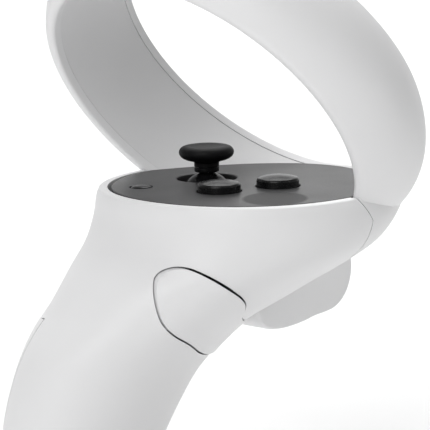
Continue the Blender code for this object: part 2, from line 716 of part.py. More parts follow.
def make_trigger():
    mesh = bmesh.new()
    outline = trigger_outline()
    half_steps = ((1.0, 0.955, 0.76), (0.94, 0.985, 0.82), (0.82, 1.0, 0.88), (0.55, 1.0, 0.96))
    steps = [(-side, scale, nose) for side, scale, nose in half_steps]
    steps += [(0.0, 1.0, 1.0), *reversed(half_steps)]
    hub = Vector((11.0, -25.0))
    rings = []
    for side, scale, nose in steps:
        ring = []
        for a, b in outline:
            way = Vector((a, b)) - hub
            way.x *= nose if way.x > 0 else scale
            narrow = 1.0 - 0.012 * max(0.0, -20.0 - b)
            ring.append(Vector((TRIGGER_HALF * side * narrow, hub.x + way.x, hub.y + way.y * scale)))
        rings.append(ring)
    loft(mesh, rings)
    trigger = finish("trigger", mesh, WHITE, 0.4, origin=TRIGGER_PIVOT)
    pocket = bmesh.new()
    inner = [(-6.6, -26.4), (-5.4, -30.8), (0.6, -32.8), (9.6, -30.4), (18.6, -29.8), (23.4, -26.6),
             (20.4, -23.4), (15.0, -23.4), (9.0, -23.4), (6.0, -21.0), (2.0, -14.0), (-6.6, -14.0)]
    prism(pocket, inner, -TRIGGER_HALF + 2.4, TRIGGER_HALF - 2.4)
    bore = bmesh.new()
    _, py, pz = TRIGGER_PIVOT
    cylinder(bore, 1.25, (-EAR_FAR - 1.1, py, pz), (EAR_FAR + 1.1, py, pz), 24)
    coil_room = bmesh.new()
    cylinder(coil_room, 4.0, (-4.0, py, pz), (4.0, py, pz), 24)
    cut(trigger, cutter("trigger_pocket", pocket), cutter("trigger_bore", bore),
        cutter("coil_room", coil_room))
    for side in (-1, 1):
        slot = bmesh.new()
        low, high = sorted((side * (EAR_NEAR - GAP), side * (EAR_FAR + GAP)))
        box(slot, (low, 2.0, pz - 4.2), (high, py + 4.4, -10.0))
        cut(trigger, cutter(f"ear_slot_{side + 2}", slot))
    mesh = bmesh.new()
    cylinder(mesh, 1.15, (-EAR_FAR - 0.8, py, pz), (EAR_FAR + 0.8, py, pz), 24)
    finish("trigger_pin", mesh, STEEL, 0.25, 1.0)
    mesh = bmesh.new()
    tube(mesh, ((1.5, -3.2), (2.5, -3.2), (2.5, 3.2), (1.5, 3.2)), (0, py, pz), (1, 0, 0), 24)
    finish("trigger_spring", mesh, STEEL, 0.3, 1.0, origin=TRIGGER_PIVOT)
    mesh = bmesh.new()
    box(mesh, (-2.0, 0.0, -31.0), (2.0, 4.0, -28.8))
    finish("trigger_magnet", mesh, STEEL, 0.25, 1.0, origin=TRIGGER_PIVOT, smooth=False)
    mesh = bmesh.new()
    box(mesh, (-5.0, -3.0, -19.4), (5.0, 4.2, -18.4))
    finish("trigger_hall_board", mesh, GREEN, 0.5, smooth=False)


def make_trigger_bracket():
    """Two ears that carry the trigger's pin, joined by a bar behind the trigger."""
    _, py, pz = TRIGGER_PIVOT
    mesh = bmesh.new()
    box(mesh, (-EAR_FAR, -6.6, -17.2), (EAR_FAR, -4.0, -15.6))
    bracket = finish("trigger_bracket", mesh, GREY, 0.6, smooth=False)
    round_end = [
        (py + 2.7 * math.cos(math.radians(a)), pz + 2.7 * math.sin(math.radians(a)))
        for a in range(60, -166, -25)
    ]
    outline = [(py - 5.4, -17.6), (-6.6, -17.2), (-6.6, -15.6), (py - 2.0, -16.7), *round_end]
    for side in (-1, 1):
        ear = bmesh.new()
        low, high = sorted((side * EAR_NEAR, side * EAR_FAR))
        prism(ear, outline, low, high)
        boolean(bracket, cutter(f"bracket_ear_{side + 2}", ear), "UNION")
    bore = bmesh.new()
    cylinder(bore, 1.45, (-40, py, pz), (40, py, pz), 24)
    cut(bracket, cutter("bracket_bore", bore))


def grip_arm_frame(share):
    """Axes at a SHARE of the way down the grip's pin: Z along it, X out to the button."""
    axis = (GRIP_AXIS_END - GRIP_AXIS_TOP).normalized()
    out = (RING_SIDE - RING_SIDE.dot(axis) * axis).normalized()
    turn = Matrix((out, axis.cross(out), axis)).transposed().to_4x4()
    return Matrix.Translation(GRIP_AXIS_TOP.lerp(GRIP_AXIS_END, share)) @ turn


def make_grip():
    """The grip button is the body's own surface, slightly raised, with two arms to its pin."""
    button = finish("grip_button", body_outer(GRIP_PROUD), WHITE, 0.36, origin=GRIP_AXIS_TOP)
    boolean(button, cutter("grip_block", grip_prism(0.0, GRIP_START)), "INTERSECT")
    cut(button, cutter("grip_hollow", body_inner(WALL + 0.4)))
    axis = (GRIP_AXIS_END - GRIP_AXIS_TOP).normalized()
    for number, (share, reach) in enumerate(GRIP_ARMS, 1):
        middle = GRIP_AXIS_TOP.lerp(GRIP_AXIS_END, share)
        half = GRIP_BOSS_HALF * axis
        boss = bmesh.new()
        cylinder(boss, GRIP_BOSS_R, middle - half, middle + half, 24)
        web = bmesh.new()
        box(web, (0.6, -0.9, -GRIP_BOSS_HALF), (reach, 0.9, GRIP_BOSS_HALF), grip_arm_frame(share))
        boolean(button, cutter(f"grip_web_{number}", web), "UNION")
        boolean(button, cutter(f"grip_boss_{number}", boss), "UNION")
    bore = bmesh.new()
    cylinder(bore, GRIP_PIN_R + GAP, GRIP_AXIS_TOP, GRIP_AXIS_END + axis, 24)
    cut(button, cutter("grip_bore", bore))
    mesh = bmesh.new()
    cylinder(mesh, GRIP_PIN_R, GRIP_AXIS_TOP + 3.0 * axis, GRIP_AXIS_END, 20)
    finish("grip_pin", mesh, STEEL, 0.25, 1.0)
    mesh = bmesh.new()
    middle = GRIP_AXIS_TOP.lerp(GRIP_AXIS_END, 0.55)
    tube(mesh, ((1.2, -2.4), (1.9, -2.4), (1.9, 2.4), (1.2, 2.4)), middle, axis, 20)
    finish("grip_spring", mesh, STEEL, 0.3, 1.0, origin=middle)


def make_battery_bay():
    frame = handle_frame()
    axis = HANDLE_DIR
    top = HANDLE_TOP
    cell = bmesh.new()
    turned(cell, (
        (0.0, 0.0), (BATTERY_R - 0.4, 0.0), (BATTERY_R, 0.4), (BATTERY_R, BATTERY_LEN - 0.4),
        (BATTERY_R - 0.4, BATTERY_LEN), (2.7, BATTERY_LEN), (2.7, BATTERY_LEN + 1.0),
        (0.0, BATTERY_LEN + 1.0),
    ), top, axis, 32)
    finish("battery_cell", cell, (0.10, 0.12, 0.16), 0.35, 0.3)
    tray = bmesh.new()
    turned(tray, ((8.9, -2.2), (8.9, BATTERY_LEN + 1.0)), top, axis, 32)
    made = finish("battery_tray", tray, GREY, 0.6, smooth=False)
    bore = bmesh.new()
    cylinder(bore, BATTERY_R + 0.4, top - 0.9 * axis, top + (BATTERY_LEN + 9.0) * axis, 32)
    side = bmesh.new()
    box(side, (-30.0, -30.0, -20.0), (-2.0, 30.0, 80.0), frame)
    cut(made, cutter("tray_bore", bore), cutter("tray_side", side))
    mesh = bmesh.new()
    cylinder(mesh, 4.5, top - 0.6 * axis, top - 0.3 * axis, 24)
    finish("battery_plate_contact", mesh, STEEL, 0.3, 1.0)
    mesh = bmesh.new()
    low = top + (BATTERY_LEN + 1.4) * axis
    turned(mesh, ((0.0, 0.0), (2.6, 0.0), (3.8, 1.4), (0.0, 1.4)), low, axis, 20)
    finish("battery_spring_contact", mesh, STEEL, 0.3, 1.0)
    mesh = bmesh.new()
    box(mesh, (-6.8, -2.6, -9.0), (-4.0, 2.6, -3.4), frame)
    finish("door_latch", mesh, (0.5, 0.5, 0.52), 0.5, smooth=False)
    mesh = bmesh.new()
    cylinder(mesh, 0.9, (-21.6, -56.8, -87.4), (-13.4, -56.8, -87.4), 16)
    finish("lanyard_bar", mesh, STEEL, 0.3, 1.0)


def main():
    clear_scene()
    keep = ring_keepout()
    clearance = ring_clearance()
    make_ring_outer_shell()
    make_ring_inner_cover()
    make_ring_led_strip()
    make_housing(clearance)
    make_battery_door()
    make_face_plate(keep)
    make_inner_frame(keep)
    make_buttons()
    make_button_stack(keep)
    make_stick()
    make_main_board(keep)
    make_trigger()
    make_trigger_bracket()
    make_grip()
    make_battery_bay()


main()
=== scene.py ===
"""Looks of a left-hand motion controller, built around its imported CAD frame.

Row frame: origin at the centre of the face plate's top, +Z out of the plate, +Y to the
front where the tracking ring stands, +X to the inner side. Sizes are in millimetres.
"""

from __future__ import annotations

import json
import logging
import math
from dataclasses import dataclass, field
from enum import Enum
from typing import Iterable, Sequence

import bmesh
import bpy
import numpy as np
from mathutils import Matrix, Vector

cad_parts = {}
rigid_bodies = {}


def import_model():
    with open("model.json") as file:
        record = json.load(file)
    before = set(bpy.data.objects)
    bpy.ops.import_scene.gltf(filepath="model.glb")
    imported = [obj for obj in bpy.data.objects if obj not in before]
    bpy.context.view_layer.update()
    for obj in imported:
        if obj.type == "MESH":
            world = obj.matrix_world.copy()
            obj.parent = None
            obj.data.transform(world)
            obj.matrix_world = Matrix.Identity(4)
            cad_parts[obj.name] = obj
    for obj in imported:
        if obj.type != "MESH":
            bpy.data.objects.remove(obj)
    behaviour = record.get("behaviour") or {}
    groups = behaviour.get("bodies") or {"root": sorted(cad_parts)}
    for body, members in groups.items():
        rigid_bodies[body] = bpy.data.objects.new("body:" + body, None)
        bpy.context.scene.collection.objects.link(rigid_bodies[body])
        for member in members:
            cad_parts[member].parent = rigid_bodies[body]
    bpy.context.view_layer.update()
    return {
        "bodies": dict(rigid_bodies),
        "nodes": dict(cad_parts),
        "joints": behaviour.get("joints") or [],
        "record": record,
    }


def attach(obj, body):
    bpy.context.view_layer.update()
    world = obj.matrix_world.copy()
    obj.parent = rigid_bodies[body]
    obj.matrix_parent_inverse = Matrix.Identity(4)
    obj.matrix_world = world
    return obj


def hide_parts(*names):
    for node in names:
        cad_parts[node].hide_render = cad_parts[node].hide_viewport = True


LOG = logging.getLogger("controller")
MM = 0.001
GAP = 0.3
BEYOND = 60.0
SMALLEST_RADIUS = 1e-4
WELD_DISTANCE = 0.0004

Point2 = tuple[float, float]
Point3 = tuple[float, float, float]
Mesh = bmesh.types.BMesh
Piece = bpy.types.Object
Socket = bpy.types.NodeSocket
Inputs = dict[str | int, object]


class Operation(Enum):
    """What a tool solid does to the solid that it meets."""

    UNION = "UNION"
    DIFFERENCE = "DIFFERENCE"
    INTERSECT = "INTERSECT"


# ---------------------------------------------------------------- mesh tools


def join_rings(mesh: Mesh, rings: Sequence[Sequence[Vector]], closed: bool = False) -> None:
    """Joins rings of points side by side into a skin.

    Args:
        mesh: the mesh that receives the skin.
        rings: rings of equal length, in order along the shape.
        closed: True joins the last ring to the first; False caps both ends.
    """
    rows = [[mesh.verts.new(point) for point in ring] for ring in rings]
    count = len(rows[0])
    pairs = list(zip(rows, rows[1:] + rows[:1])) if closed else list(zip(rows, rows[1:]))
    for low, high in pairs:
        for i in range(count):
            j = (i + 1) % count
            mesh.faces.new((low[i], low[j], high[j], high[i]))
    if not closed:
        mesh.faces.new(rows[0])
        mesh.faces.new(rows[-1])


def circle_rings(
    profile: Sequence[Point2], centre: Sequence[float], axis: Sequence[float], sides: int
) -> list[list[Vector]]:
    """Rings of points for a solid of revolution.

    Args:
        profile: pairs of radius and height along the axis.
        centre: where height is zero.
        axis: the direction of the axis.
        sides: points in each ring.

    Returns:
        One ring for each pair in the profile.
    """
    turn = Vector(axis).to_track_quat("Z", "Y").to_matrix()
    base = Vector(centre)
    return [
        [
            base + turn @ Vector((
                max(radius, SMALLEST_RADIUS) * math.cos(2 * math.pi * k / sides),
                max(radius, SMALLEST_RADIUS) * math.sin(2 * math.pi * k / sides),
                height,
            ))
            for k in range(sides)
        ]
        for radius, height in profile
    ]


def turned(
    profile: Sequence[Point2],
    centre: Sequence[float],
    axis: Sequence[float] = (0, 0, 1),
    sides: int = 96,
    closed: bool = False,
) -> Mesh:
    """A solid of revolution.

    Args:
        profile: pairs of radius and height, from one end to the other.
        centre: where height is zero.
        axis: the direction of the axis.
        sides: points round the solid.
        closed: True where the profile closes on itself, as in a tube.

    Returns:
        The mesh, in millimetres.
    """
    mesh = bmesh.new()
    join_rings(mesh, circle_rings(profile, centre, axis, sides), closed)
    return mesh


def prism(outline: Sequence[Point2], start: float, end: float) -> Mesh:
    """A side outline pushed along X.

    Args:
        outline: pairs of y and z.
        start: where the prism starts.
        end: where it ends.

    Returns:
        The mesh, in millimetres.
    """
    mesh = bmesh.new()
    join_rings(mesh, [[Vector((along, y, z)) for y, z in outline] for along in (start, end)])
    return mesh


def block(low: Sequence[float], high: Sequence[float], frame: Matrix | None = None) -> Mesh:
    """A box between two corners.

    Args:
        low: the lowest corner.
        high: the highest corner.
        frame: axes in which the corners are given, or None for the row frame.

    Returns:
        The mesh, in millimetres.
    """
    mesh = bmesh.new()
    foot = ((low[0], low[1]), (high[0], low[1]), (high[0], high[1]), (low[0], high[1]))
    rings = [[Vector((x, y, z)) for x, y in foot] for z in (low[2], high[2])]
    if frame is not None:
        rings = [[frame @ point for point in ring] for ring in rings]
    join_rings(mesh, rings)
    return mesh


def rounded(outline: Iterable[Point2], turns: int = 2) -> list[Point2]:
    """Cuts the corners of a closed outline again and again.

    Args:
        outline: the control points.
        turns: how many times the corners are cut.

    Returns:
        A smooth closed outline.
    """
    points = [Vector(point) for point in outline]
    for _ in range(turns):
        points = [
            a.lerp(b, share)
            for a, b in zip(points, points[1:] + points[:1])
            for share in (0.25, 0.75)
        ]
    return [tuple(point) for point in points]


def grown(outline: Sequence[Point2], by: float) -> list[Point2]:
    """Pushes a closed outline outwards.

    Args:
        outline: the closed outline.
        by: how far each point moves, outwards where positive.

    Returns:
        The moved outline.
    """
    points = [Vector(point) for point in outline]
    area = sum(a.x * b.y - b.x * a.y for a, b in zip(points, points[1:] + points[:1]))
    sign = 1.0 if area > 0 else -1.0
    out = []
    for before, here, after in zip(points[-1:] + points[:-1], points, points[1:] + points[:1]):
        way = (after - before).normalized()
        out.append(tuple(here + by * sign * Vector((way.y, -way.x))))
    return out


def shares(start: float, end: float, count: int) -> list[float]:
    """Evenly spaced numbers from start to end, both included."""
    return [start + (end - start) * k / (count - 1) for k in range(count)]


def solid(name: str, mesh: Mesh) -> Piece:
    """Makes an object in metres from a mesh in millimetres.

    Args:
        name: the object's name.
        mesh: the closed mesh, which is freed.

    Returns:
        The linked object.
    """
    bmesh.ops.remove_doubles(mesh, verts=mesh.verts, dist=WELD_DISTANCE)
    bmesh.ops.recalc_face_normals(mesh, faces=mesh.faces)
    bmesh.ops.scale(mesh, vec=(MM, MM, MM), verts=mesh.verts)
    data = bpy.data.meshes.new(name)
    mesh.to_mesh(data)
    mesh.free()
    made = bpy.data.objects.new(name, data)
    bpy.context.scene.collection.objects.link(made)
    return made


def settle(made: Piece) -> Piece:
    """Applies an object's modifiers to its mesh.

    Args:
        made: the object.

    Returns:
        The same object, without modifiers.
    """
    view = bpy.context.evaluated_depsgraph_get()
    view.update()
    data = bpy.data.meshes.new_from_object(made.evaluated_get(view))
    old = made.data
    made.modifiers.clear()
    made.data = data
    bpy.data.meshes.remove(old)
    data.name = made.name
    return made


def carve(
    target: Piece, tools: Iterable[Mesh | Piece],
    operation: Operation = Operation.DIFFERENCE,
) -> Piece:
    """Combines a solid with others, one after another, and applies the result.

    Args:
        target: the solid that is changed.
        tools: the solids it meets; they are removed afterwards.
        operation: how they are combined.

    Returns:
        The changed target.
    """
    made = []
    for tool in tools:
        piece = tool if isinstance(tool, Piece) else solid("tool", tool)
        step = target.modifiers.new("step", "BOOLEAN")
        step.operation = operation.value
        step.solver = "EXACT"
        step.object = piece
        made.append(piece)
    settle(target)
    for piece in made:
        bpy.data.objects.remove(piece, do_unlink=True)
    return target


def soften(made: Piece, width: float = 0.0, angle: float = 32.0) -> Piece:
    """Rounds a piece's sharp edges and shades it smooth.

    Args:
        made: the piece.
        width: the rounding in millimetres, or 0 for none.
        angle: edges sharper than this many degrees count as sharp.

    Returns:
        The same piece.
    """
    if width > 0:
        step = made.modifiers.new("edges", "BEVEL")
        step.width = width * MM
        step.segments = 3
        step.limit_method = "ANGLE"
        step.angle_limit = math.radians(angle)
        step.harden_normals = False
        settle(made)
    made.data.shade_smooth()
    made.data.set_sharp_from_angle(angle=math.radians(angle))
    step = made.modifiers.new("shading", "WEIGHTED_NORMAL")
    step.keep_sharp = True
    step.weight = 60
    return made


# ---------------------------------------------------------------- finishes


@dataclass(frozen=True)
class ReflectionPatch:
    """An oval patch of painted reflection, where the plate mirrors the black button Y, given in the row
    frame.
    """

    centre: Point2
    half: Point2
    turn: float
    edge: float = 0.06
    # share of the plate's colour left in the painted reflection
    shade: float = 0.55
    extra_roughness: float = 0.16


class Board:
    """A material's node tree, with short ways to add nodes and feed them."""

    def __init__(self, made: bpy.types.Material) -> None:
        """Keeps the material's nodes and links."""
        self.nodes = made.node_tree.nodes
        self.links = made.node_tree.links

    def feed(self, node: bpy.types.Node, values: Inputs) -> bpy.types.Node:
        """Sets a node's inputs.

        Args:
            node: the node.
            values: for each input, the value to set or the output to link.

        Returns:
            The same node.
        """
        for key, value in values.items():
            if isinstance(value, Socket):
                self.links.new(value, node.inputs[key])
            else:
                node.inputs[key].default_value = value
        return node

    def add(self, kind: str, values: Inputs) -> bpy.types.Node:
        """Adds a node and sets its inputs."""
        return self.feed(self.nodes.new(kind), values)

    def math(self, operation: str, values: Inputs) -> Socket:
        """Adds an arithmetic node.

        Args:
            operation: what it works out.
            values: its inputs.

        Returns:
            Its result.
        """
        made = self.add("ShaderNodeMath", values)
        made.operation = operation
        return made.outputs["Value"]


@dataclass(frozen=True)
class Finish:
    """A surface: its colour, gloss, the fine relief and variation that a real one has, and at most one oval
    of painted reflection.
    """

    name: str
    colour: Point3
    roughness: float = 0.45
    metallic: float = 0.0
    grain_per_mm: float = 3.0
    relief: float = 0.02
    mottle: float = 0.03
    coat: float = 0.0
    brushed: bool = False
    specular: float = 0.5
    # the oval where a reflection is painted: a dimmer colour and a higher roughness there
    zone: ReflectionPatch | None = None
    coat_roughness: float = 0.15
    brush_stretch: float = 14.0
    grain_detail: float = 3.0
    cloud_per_m: float = 55.0
    cloud_detail: float = 4.0
    grain_share: float = 0.35
    ramp_ends: Point2 = (0.3, 0.7)
    roughness_swing: float = 0.05
    noise_span: Point2 = (0.6, 1.4)

    def build(self) -> bpy.types.Material:
        """Makes the material's nodes.

        Returns:
            The material.
        """
        made = bpy.data.materials.new(self.name)
        made.use_nodes = True
        board = Board(made)
        place = board.nodes.new("ShaderNodeTexCoord").outputs["Object"]
        stretch = board.add("ShaderNodeMapping", {
            "Vector": place, "Scale": (1.0, self.brush_stretch if self.brushed else 1.0, 1.0),
        }).outputs["Vector"]
        grain = self._noise(board, stretch, self.grain_per_mm / MM, self.grain_detail)
        cloud = self._noise(board, stretch, self.cloud_per_m, self.cloud_detail)
        # mask of the painted reflection
        mask = None if self.zone is None else self._mask(board, place, self.zone)
        bump = board.add("ShaderNodeBump", {
            "Strength": self.relief * 10.0, "Distance": self.relief * MM, "Height": grain,
        })
        board.feed(board.nodes["Principled BSDF"], {
            "Metallic": self.metallic,
            "Specular IOR Level": self.specular,
            "Coat Weight": self.coat,
            "Coat Roughness": self.coat_roughness,
            "Base Color": self._colour(board, cloud, grain, mask),
            "Roughness": self._gloss(board, cloud, grain, mask),
            "Normal": bump.outputs["Normal"],
        })
        return made

    @staticmethod
    def _noise(board: Board, place: Socket, scale: float, detail: float) -> Socket:
        """A noise texture laid over the object.

        Args:
            board: the material's nodes.
            place: the coordinates.
            scale: how fine the noise is.
            detail: how many octaves it has.

        Returns:
            The noise.
        """
        noise = board.add("ShaderNodeTexNoise", {"Vector": place, "Scale": scale, "Detail": detail})
        return noise.outputs["Fac"]

    @staticmethod
    def _mask(board: Board, place: Socket, zone: ReflectionPatch) -> Socket:
        """A mask that is 1 inside the oval of painted reflection and fades out over its edge.

        Args:
            board: the material's nodes.
            place: the coordinates.
            zone: the oval of painted reflection.

        Returns:
            The mask.
        """
        frame = board.nodes.new("ShaderNodeMapping")
        frame.vector_type = "TEXTURE"
        board.feed(frame, {
            "Vector": place,
            "Location": (zone.centre[0] * MM, zone.centre[1] * MM, 0.0),
            "Rotation": (0.0, 0.0, math.radians(zone.turn)),
            "Scale": (zone.half[0] * MM, zone.half[1] * MM, 1.0),
        })
        reach = board.add("ShaderNodeVectorMath", {0: frame.outputs["Vector"]})
        reach.operation = "LENGTH"
        fade = board.add("ShaderNodeMapRange", {
            "Value": reach.outputs["Value"], "From Min": 1.0 + zone.edge, "From Max": 1.0 - zone.edge,
        })
        return fade.outputs["Result"]

    def _colour(
        self, board: Board, cloud: Socket, grain: Socket,
        mask: Socket | None,
    ) -> Socket:
        """A colour that varies a little over the surface, and is dimmed in the zone, where a reflection of
        button Y is painted.

        Args:
            board: the material's nodes.
            cloud: broad noise.
            grain: fine noise.
            mask: the zone's mask, or None where there is no zone.

        Returns:
            The colour.
        """
        broad = board.math("MULTIPLY", {0: cloud, 1: 1.0 - self.grain_share})
        blend = board.math("MULTIPLY_ADD", {0: grain, 1: self.grain_share, 2: broad})
        ramp = board.add("ShaderNodeValToRGB", {"Fac": blend})
        factors = (1.0 - self.mottle, 1.0 + self.mottle)
        for mark, place, factor in zip(ramp.color_ramp.elements, self.ramp_ends, factors):
            mark.color = (*[min(1.0, channel * factor) for channel in self.colour], 1.0)
            mark.position = place
        if mask is None:
            return ramp.outputs["Color"]
        mix = board.nodes.new("ShaderNodeMix")
        mix.data_type = "RGBA"
        # painted reflection: the plate's colour dimmed by the zone's shade
        darker = (*[channel * self.zone.shade for channel in self.colour], 1.0)
        board.feed(mix, {"B": darker, "Factor": mask, "A": ramp.outputs["Color"]})
        return mix.outputs["Result"]

    def _gloss(
        self, board: Board, cloud: Socket, grain: Socket,
        mask: Socket | None,
    ) -> Socket:
        """A roughness that varies a little over the surface, and is higher in the zone.

        Args:
            board: the material's nodes.
            cloud: broad noise.
            grain: fine noise.
            mask: the zone's mask, or None where there is no zone.

        Returns:
            The roughness.
        """
        spread = board.add("ShaderNodeMapRange", {
            "Value": board.math("ADD", {0: cloud, 1: grain}),
            "From Min": self.noise_span[0],
            "From Max": self.noise_span[1],
            "To Min": self.roughness - self.roughness_swing,
            "To Max": self.roughness + self.roughness_swing,
        }).outputs["Result"]
        if mask is None:
            return spread
        return board.math("MULTIPLY_ADD", {0: mask, 1: self.zone.extra_roughness, 2: spread})


@dataclass(frozen=True)
class FinishSet:
    """Every finish on the controller."""

    shell: Finish = Finish("shell_plastic", (0.80, 0.80, 0.805), 0.46, relief=0.012, mottle=0.015)
    cover: Finish = Finish("cover_plastic", (0.76, 0.76, 0.765), 0.52, relief=0.012, mottle=0.02)
    plate: Finish = Finish(
        "plate_satin", (0.030, 0.030, 0.031), 0.36, relief=0.01, mottle=0.06, specular=0.22,
        # painted reflection of the black button Y on the plate, turned towards the camera
        zone=ReflectionPatch((20.6, -13.2), (7.6, 9.2), 43.0),
    )
    key: Finish = Finish(
        "key_plastic", (0.005, 0.005, 0.0055), 0.26, relief=0.006, mottle=0.05, specular=0.25,
    )
    rubber: Finish = Finish(
        "stick_rubber", (0.003, 0.003, 0.0035), 0.55, relief=0.03, mottle=0.08, specular=0.14,
    )
    inner: Finish = Finish("inner_plastic", (0.22, 0.22, 0.23), 0.6, relief=0.03, mottle=0.08)
    natural: Finish = Finish("natural_plastic", (0.62, 0.61, 0.57), 0.5, mottle=0.05)
    steel: Finish = Finish("bright_steel", (0.62, 0.62, 0.64), 0.28, 1.0, 0.8, 0.01, 0.08, brushed=True)
    mask: Finish = Finish("solder_mask", (0.012, 0.12, 0.05), 0.4, grain_per_mm=1.2, relief=0.03, mottle=0.25)
    silicone: Finish = Finish("silicone_pad", (0.5, 0.5, 0.52), 0.75, relief=0.03)
    sleeve: Finish = Finish("cell_sleeve", (0.06, 0.08, 0.12), 0.3, relief=0.01, mottle=0.1, coat=0.4)
    film: Finish = Finish("lamp_film", (0.42, 0.27, 0.07), 0.4, grain_per_mm=0.8, mottle=0.2)


class Palette:
    """Builds each finish once and hands out its material."""

    def __init__(self, finishes: FinishSet) -> None:
        """Keeps the set of finishes."""
        self.finishes = finishes
        self._made: dict[str, bpy.types.Material] = {}

    def get(self, finish: Finish) -> bpy.types.Material:
        """The material of a finish.

        Args:
            finish: the finish.

        Returns:
            Its material, made the first time it is asked for.
        """
        if finish.name not in self._made:
            self._made[finish.name] = finish.build()
        return self._made[finish.name]

    def dress(self, piece: Piece, finish: Finish) -> None:
        """Gives a piece one finish all over."""
        piece.data.materials.clear()
        piece.data.materials.append(self.get(finish))


# ---------------------------------------------------------------- forms


@dataclass(frozen=True)
class BodyForm:
    """The one smooth form from which housing, door, front shell and grip button are cut."""

    lean: float = 0.33
    power: float = 2.1
    sides: int = 144
    rows: int = 74
    # height, centre y, half width, half depth to the front, half depth to the rear
    stations: tuple[tuple[float, float, float, float, float], ...] = (
        (0.0, 0.0, 35.8, 35.8, 35.8),
        (-1.0, 0.0, 36.4, 36.4, 36.4),
        (-4.0, 0.0, 37.0, 36.6, 37.0),
        (-8.0, -1.0, 36.6, 35.2, 37.2),
        (-13.0, -4.0, 34.8, 34.4, 37.3),
        (-18.0, -10.0, 31.2, 35.2, 36.5),
        (-22.0, -15.5, 28.0, 33.8, 34.5),
        (-26.0, -21.0, 25.4, 30.5, 32.0),
        (-30.0, -27.0, 23.0, 27.0, 29.5),
        (-35.0, -32.0, 20.8, 26.0, 28.0),
        (-42.0, -37.0, 18.8, 23.7, 26.0),
        (-50.0, -41.0, 17.6, 22.5, 24.0),
        (-58.0, -43.8, 16.8, 20.3, 22.0),
        (-66.0, -46.3, 16.1, 18.8, 19.5),
        (-74.0, -48.8, 15.2, 17.1, 16.9),
        (-82.0, -51.0, 13.8, 15.0, 14.4),
        (-87.0, -52.3, 11.6, 12.4, 11.8),
        (-89.6, -53.0, 8.6, 9.2, 8.6),
    )
    # height, how far the section is drawn in there
    top_edge: tuple[Point2, ...] = ((0.0, -0.55), (-0.1, -0.28), (-0.3, -0.08), (-0.6, 0.0))
    # depth below the last station, how far the section is drawn in there
    foot_edge: tuple[Point2, ...] = ((0.28, -0.35), (0.4, -0.8))
    wall_top: float = -0.9
    recess_radius: float = 33.95
    recess: Point2 = (4.0, -2.2)
    hollow: Point2 = (-3.4, -86.0)
    turn_damping: float = 0.3

    def section(self, height: float) -> tuple[float, float, float, float]:
        """The form's centre and half sizes at a height, on a smooth curve through the stations.

        Args:
            height: the height, in millimetres.

        Returns:
            Centre y, half width, half depth to the front and to the rear.
        """
        table = np.array(self.stations)
        depth = -table[:, 0]
        spot = min(max(-height, depth[0]), depth[-1])
        k = int(np.clip(np.searchsorted(depth, spot) - 1, 0, len(depth) - 2))
        slopes = self._slopes(depth, table[:, 1:])
        width = depth[k + 1] - depth[k]
        t = (spot - depth[k]) / width
        h00, h10 = (1 + 2 * t) * (1 - t) ** 2, t * (1 - t) ** 2
        h01, h11 = t * t * (3 - 2 * t), t * t * (t - 1)
        value = (
            h00 * table[k, 1:] + h10 * width * slopes[k]
            + h01 * table[k + 1, 1:] + h11 * width * slopes[k + 1]
        )
        return tuple(float(v) for v in value)

    def _slopes(self, depth: np.ndarray, values: np.ndarray) -> np.ndarray:
        """Slopes at the stations: the mean of the neighbouring stretches', damped at turns.

        Args:
            depth: the stations' depths.
            values: one row of sizes for each station.

        Returns:
            One row of slopes for each station.
        """
        steps = np.diff(values, axis=0) / np.diff(depth)[:, None]
        slopes = np.vstack([steps[:1], (steps[1:] + steps[:-1]) / 2, steps[-1:]])
        turning = steps[1:] * steps[:-1] <= 0
        slopes[1:-1][turning] *= self.turn_damping
        return slopes

    def ring(self, height: float, grow: float = 0.0, place: float | None = None) -> list[Vector]:
        """A horizontal section of the form.

        Args:
            height: the height whose sizes are used.
            grow: how far the section is grown outwards.
            place: the height at which the points are laid, where it differs.

        Returns:
            The section's points.
        """
        centre, half, front, rear = self.section(height)
        points = []
        for k in range(self.sides):
            angle = 2 * math.pi * k / self.sides
            c, s = math.cos(angle), math.sin(angle)
            across = (half + grow) * math.copysign(abs(c) ** (2 / self.power), c)
            depth = (front if s > 0 else rear) + grow
            along = depth * math.copysign(abs(s) ** (2 / self.power), s)
            level = height if place is None else place
            points.append(Vector((self.lean * centre + across, centre + along, level)))
        return points

    def outer(self, grow: float = 0.0) -> Mesh:
        """The form's outside.

        Args:
            grow: how far it is grown outwards.

        Returns:
            The closed mesh, in millimetres.
        """
        bottom = self.stations[-1][0]
        edge_end = self.top_edge[-1][0]
        rings = [self.ring(edge_end, grow + cut, level) for level, cut in self.top_edge]
        rings += [self.ring(z, grow) for z in shares(self.wall_top, bottom, self.rows)]
        rings += [self.ring(bottom, grow + cut, bottom - depth) for depth, cut in self.foot_edge]
        mesh = bmesh.new()
        join_rings(mesh, rings)
        return mesh

    def inner(self, wall: float = 2.2) -> Mesh:
        """The hollow inside the form, open upwards through the face plate's recess.

        Args:
            wall: the wall's thickness.

        Returns:
            The closed mesh, in millimetres.
        """
        height, _, half, _, _ = self.stations[1]
        scale = self.recess_radius / half
        rings = [
            [Vector((p.x * scale, p.y * scale, level)) for p in self.ring(height)]
            for level in self.recess
        ]
        rings += [self.ring(z, -wall) for z in shares(*self.hollow, self.rows // 2)]
        mesh = bmesh.new()
        join_rings(mesh, rings)
        return mesh


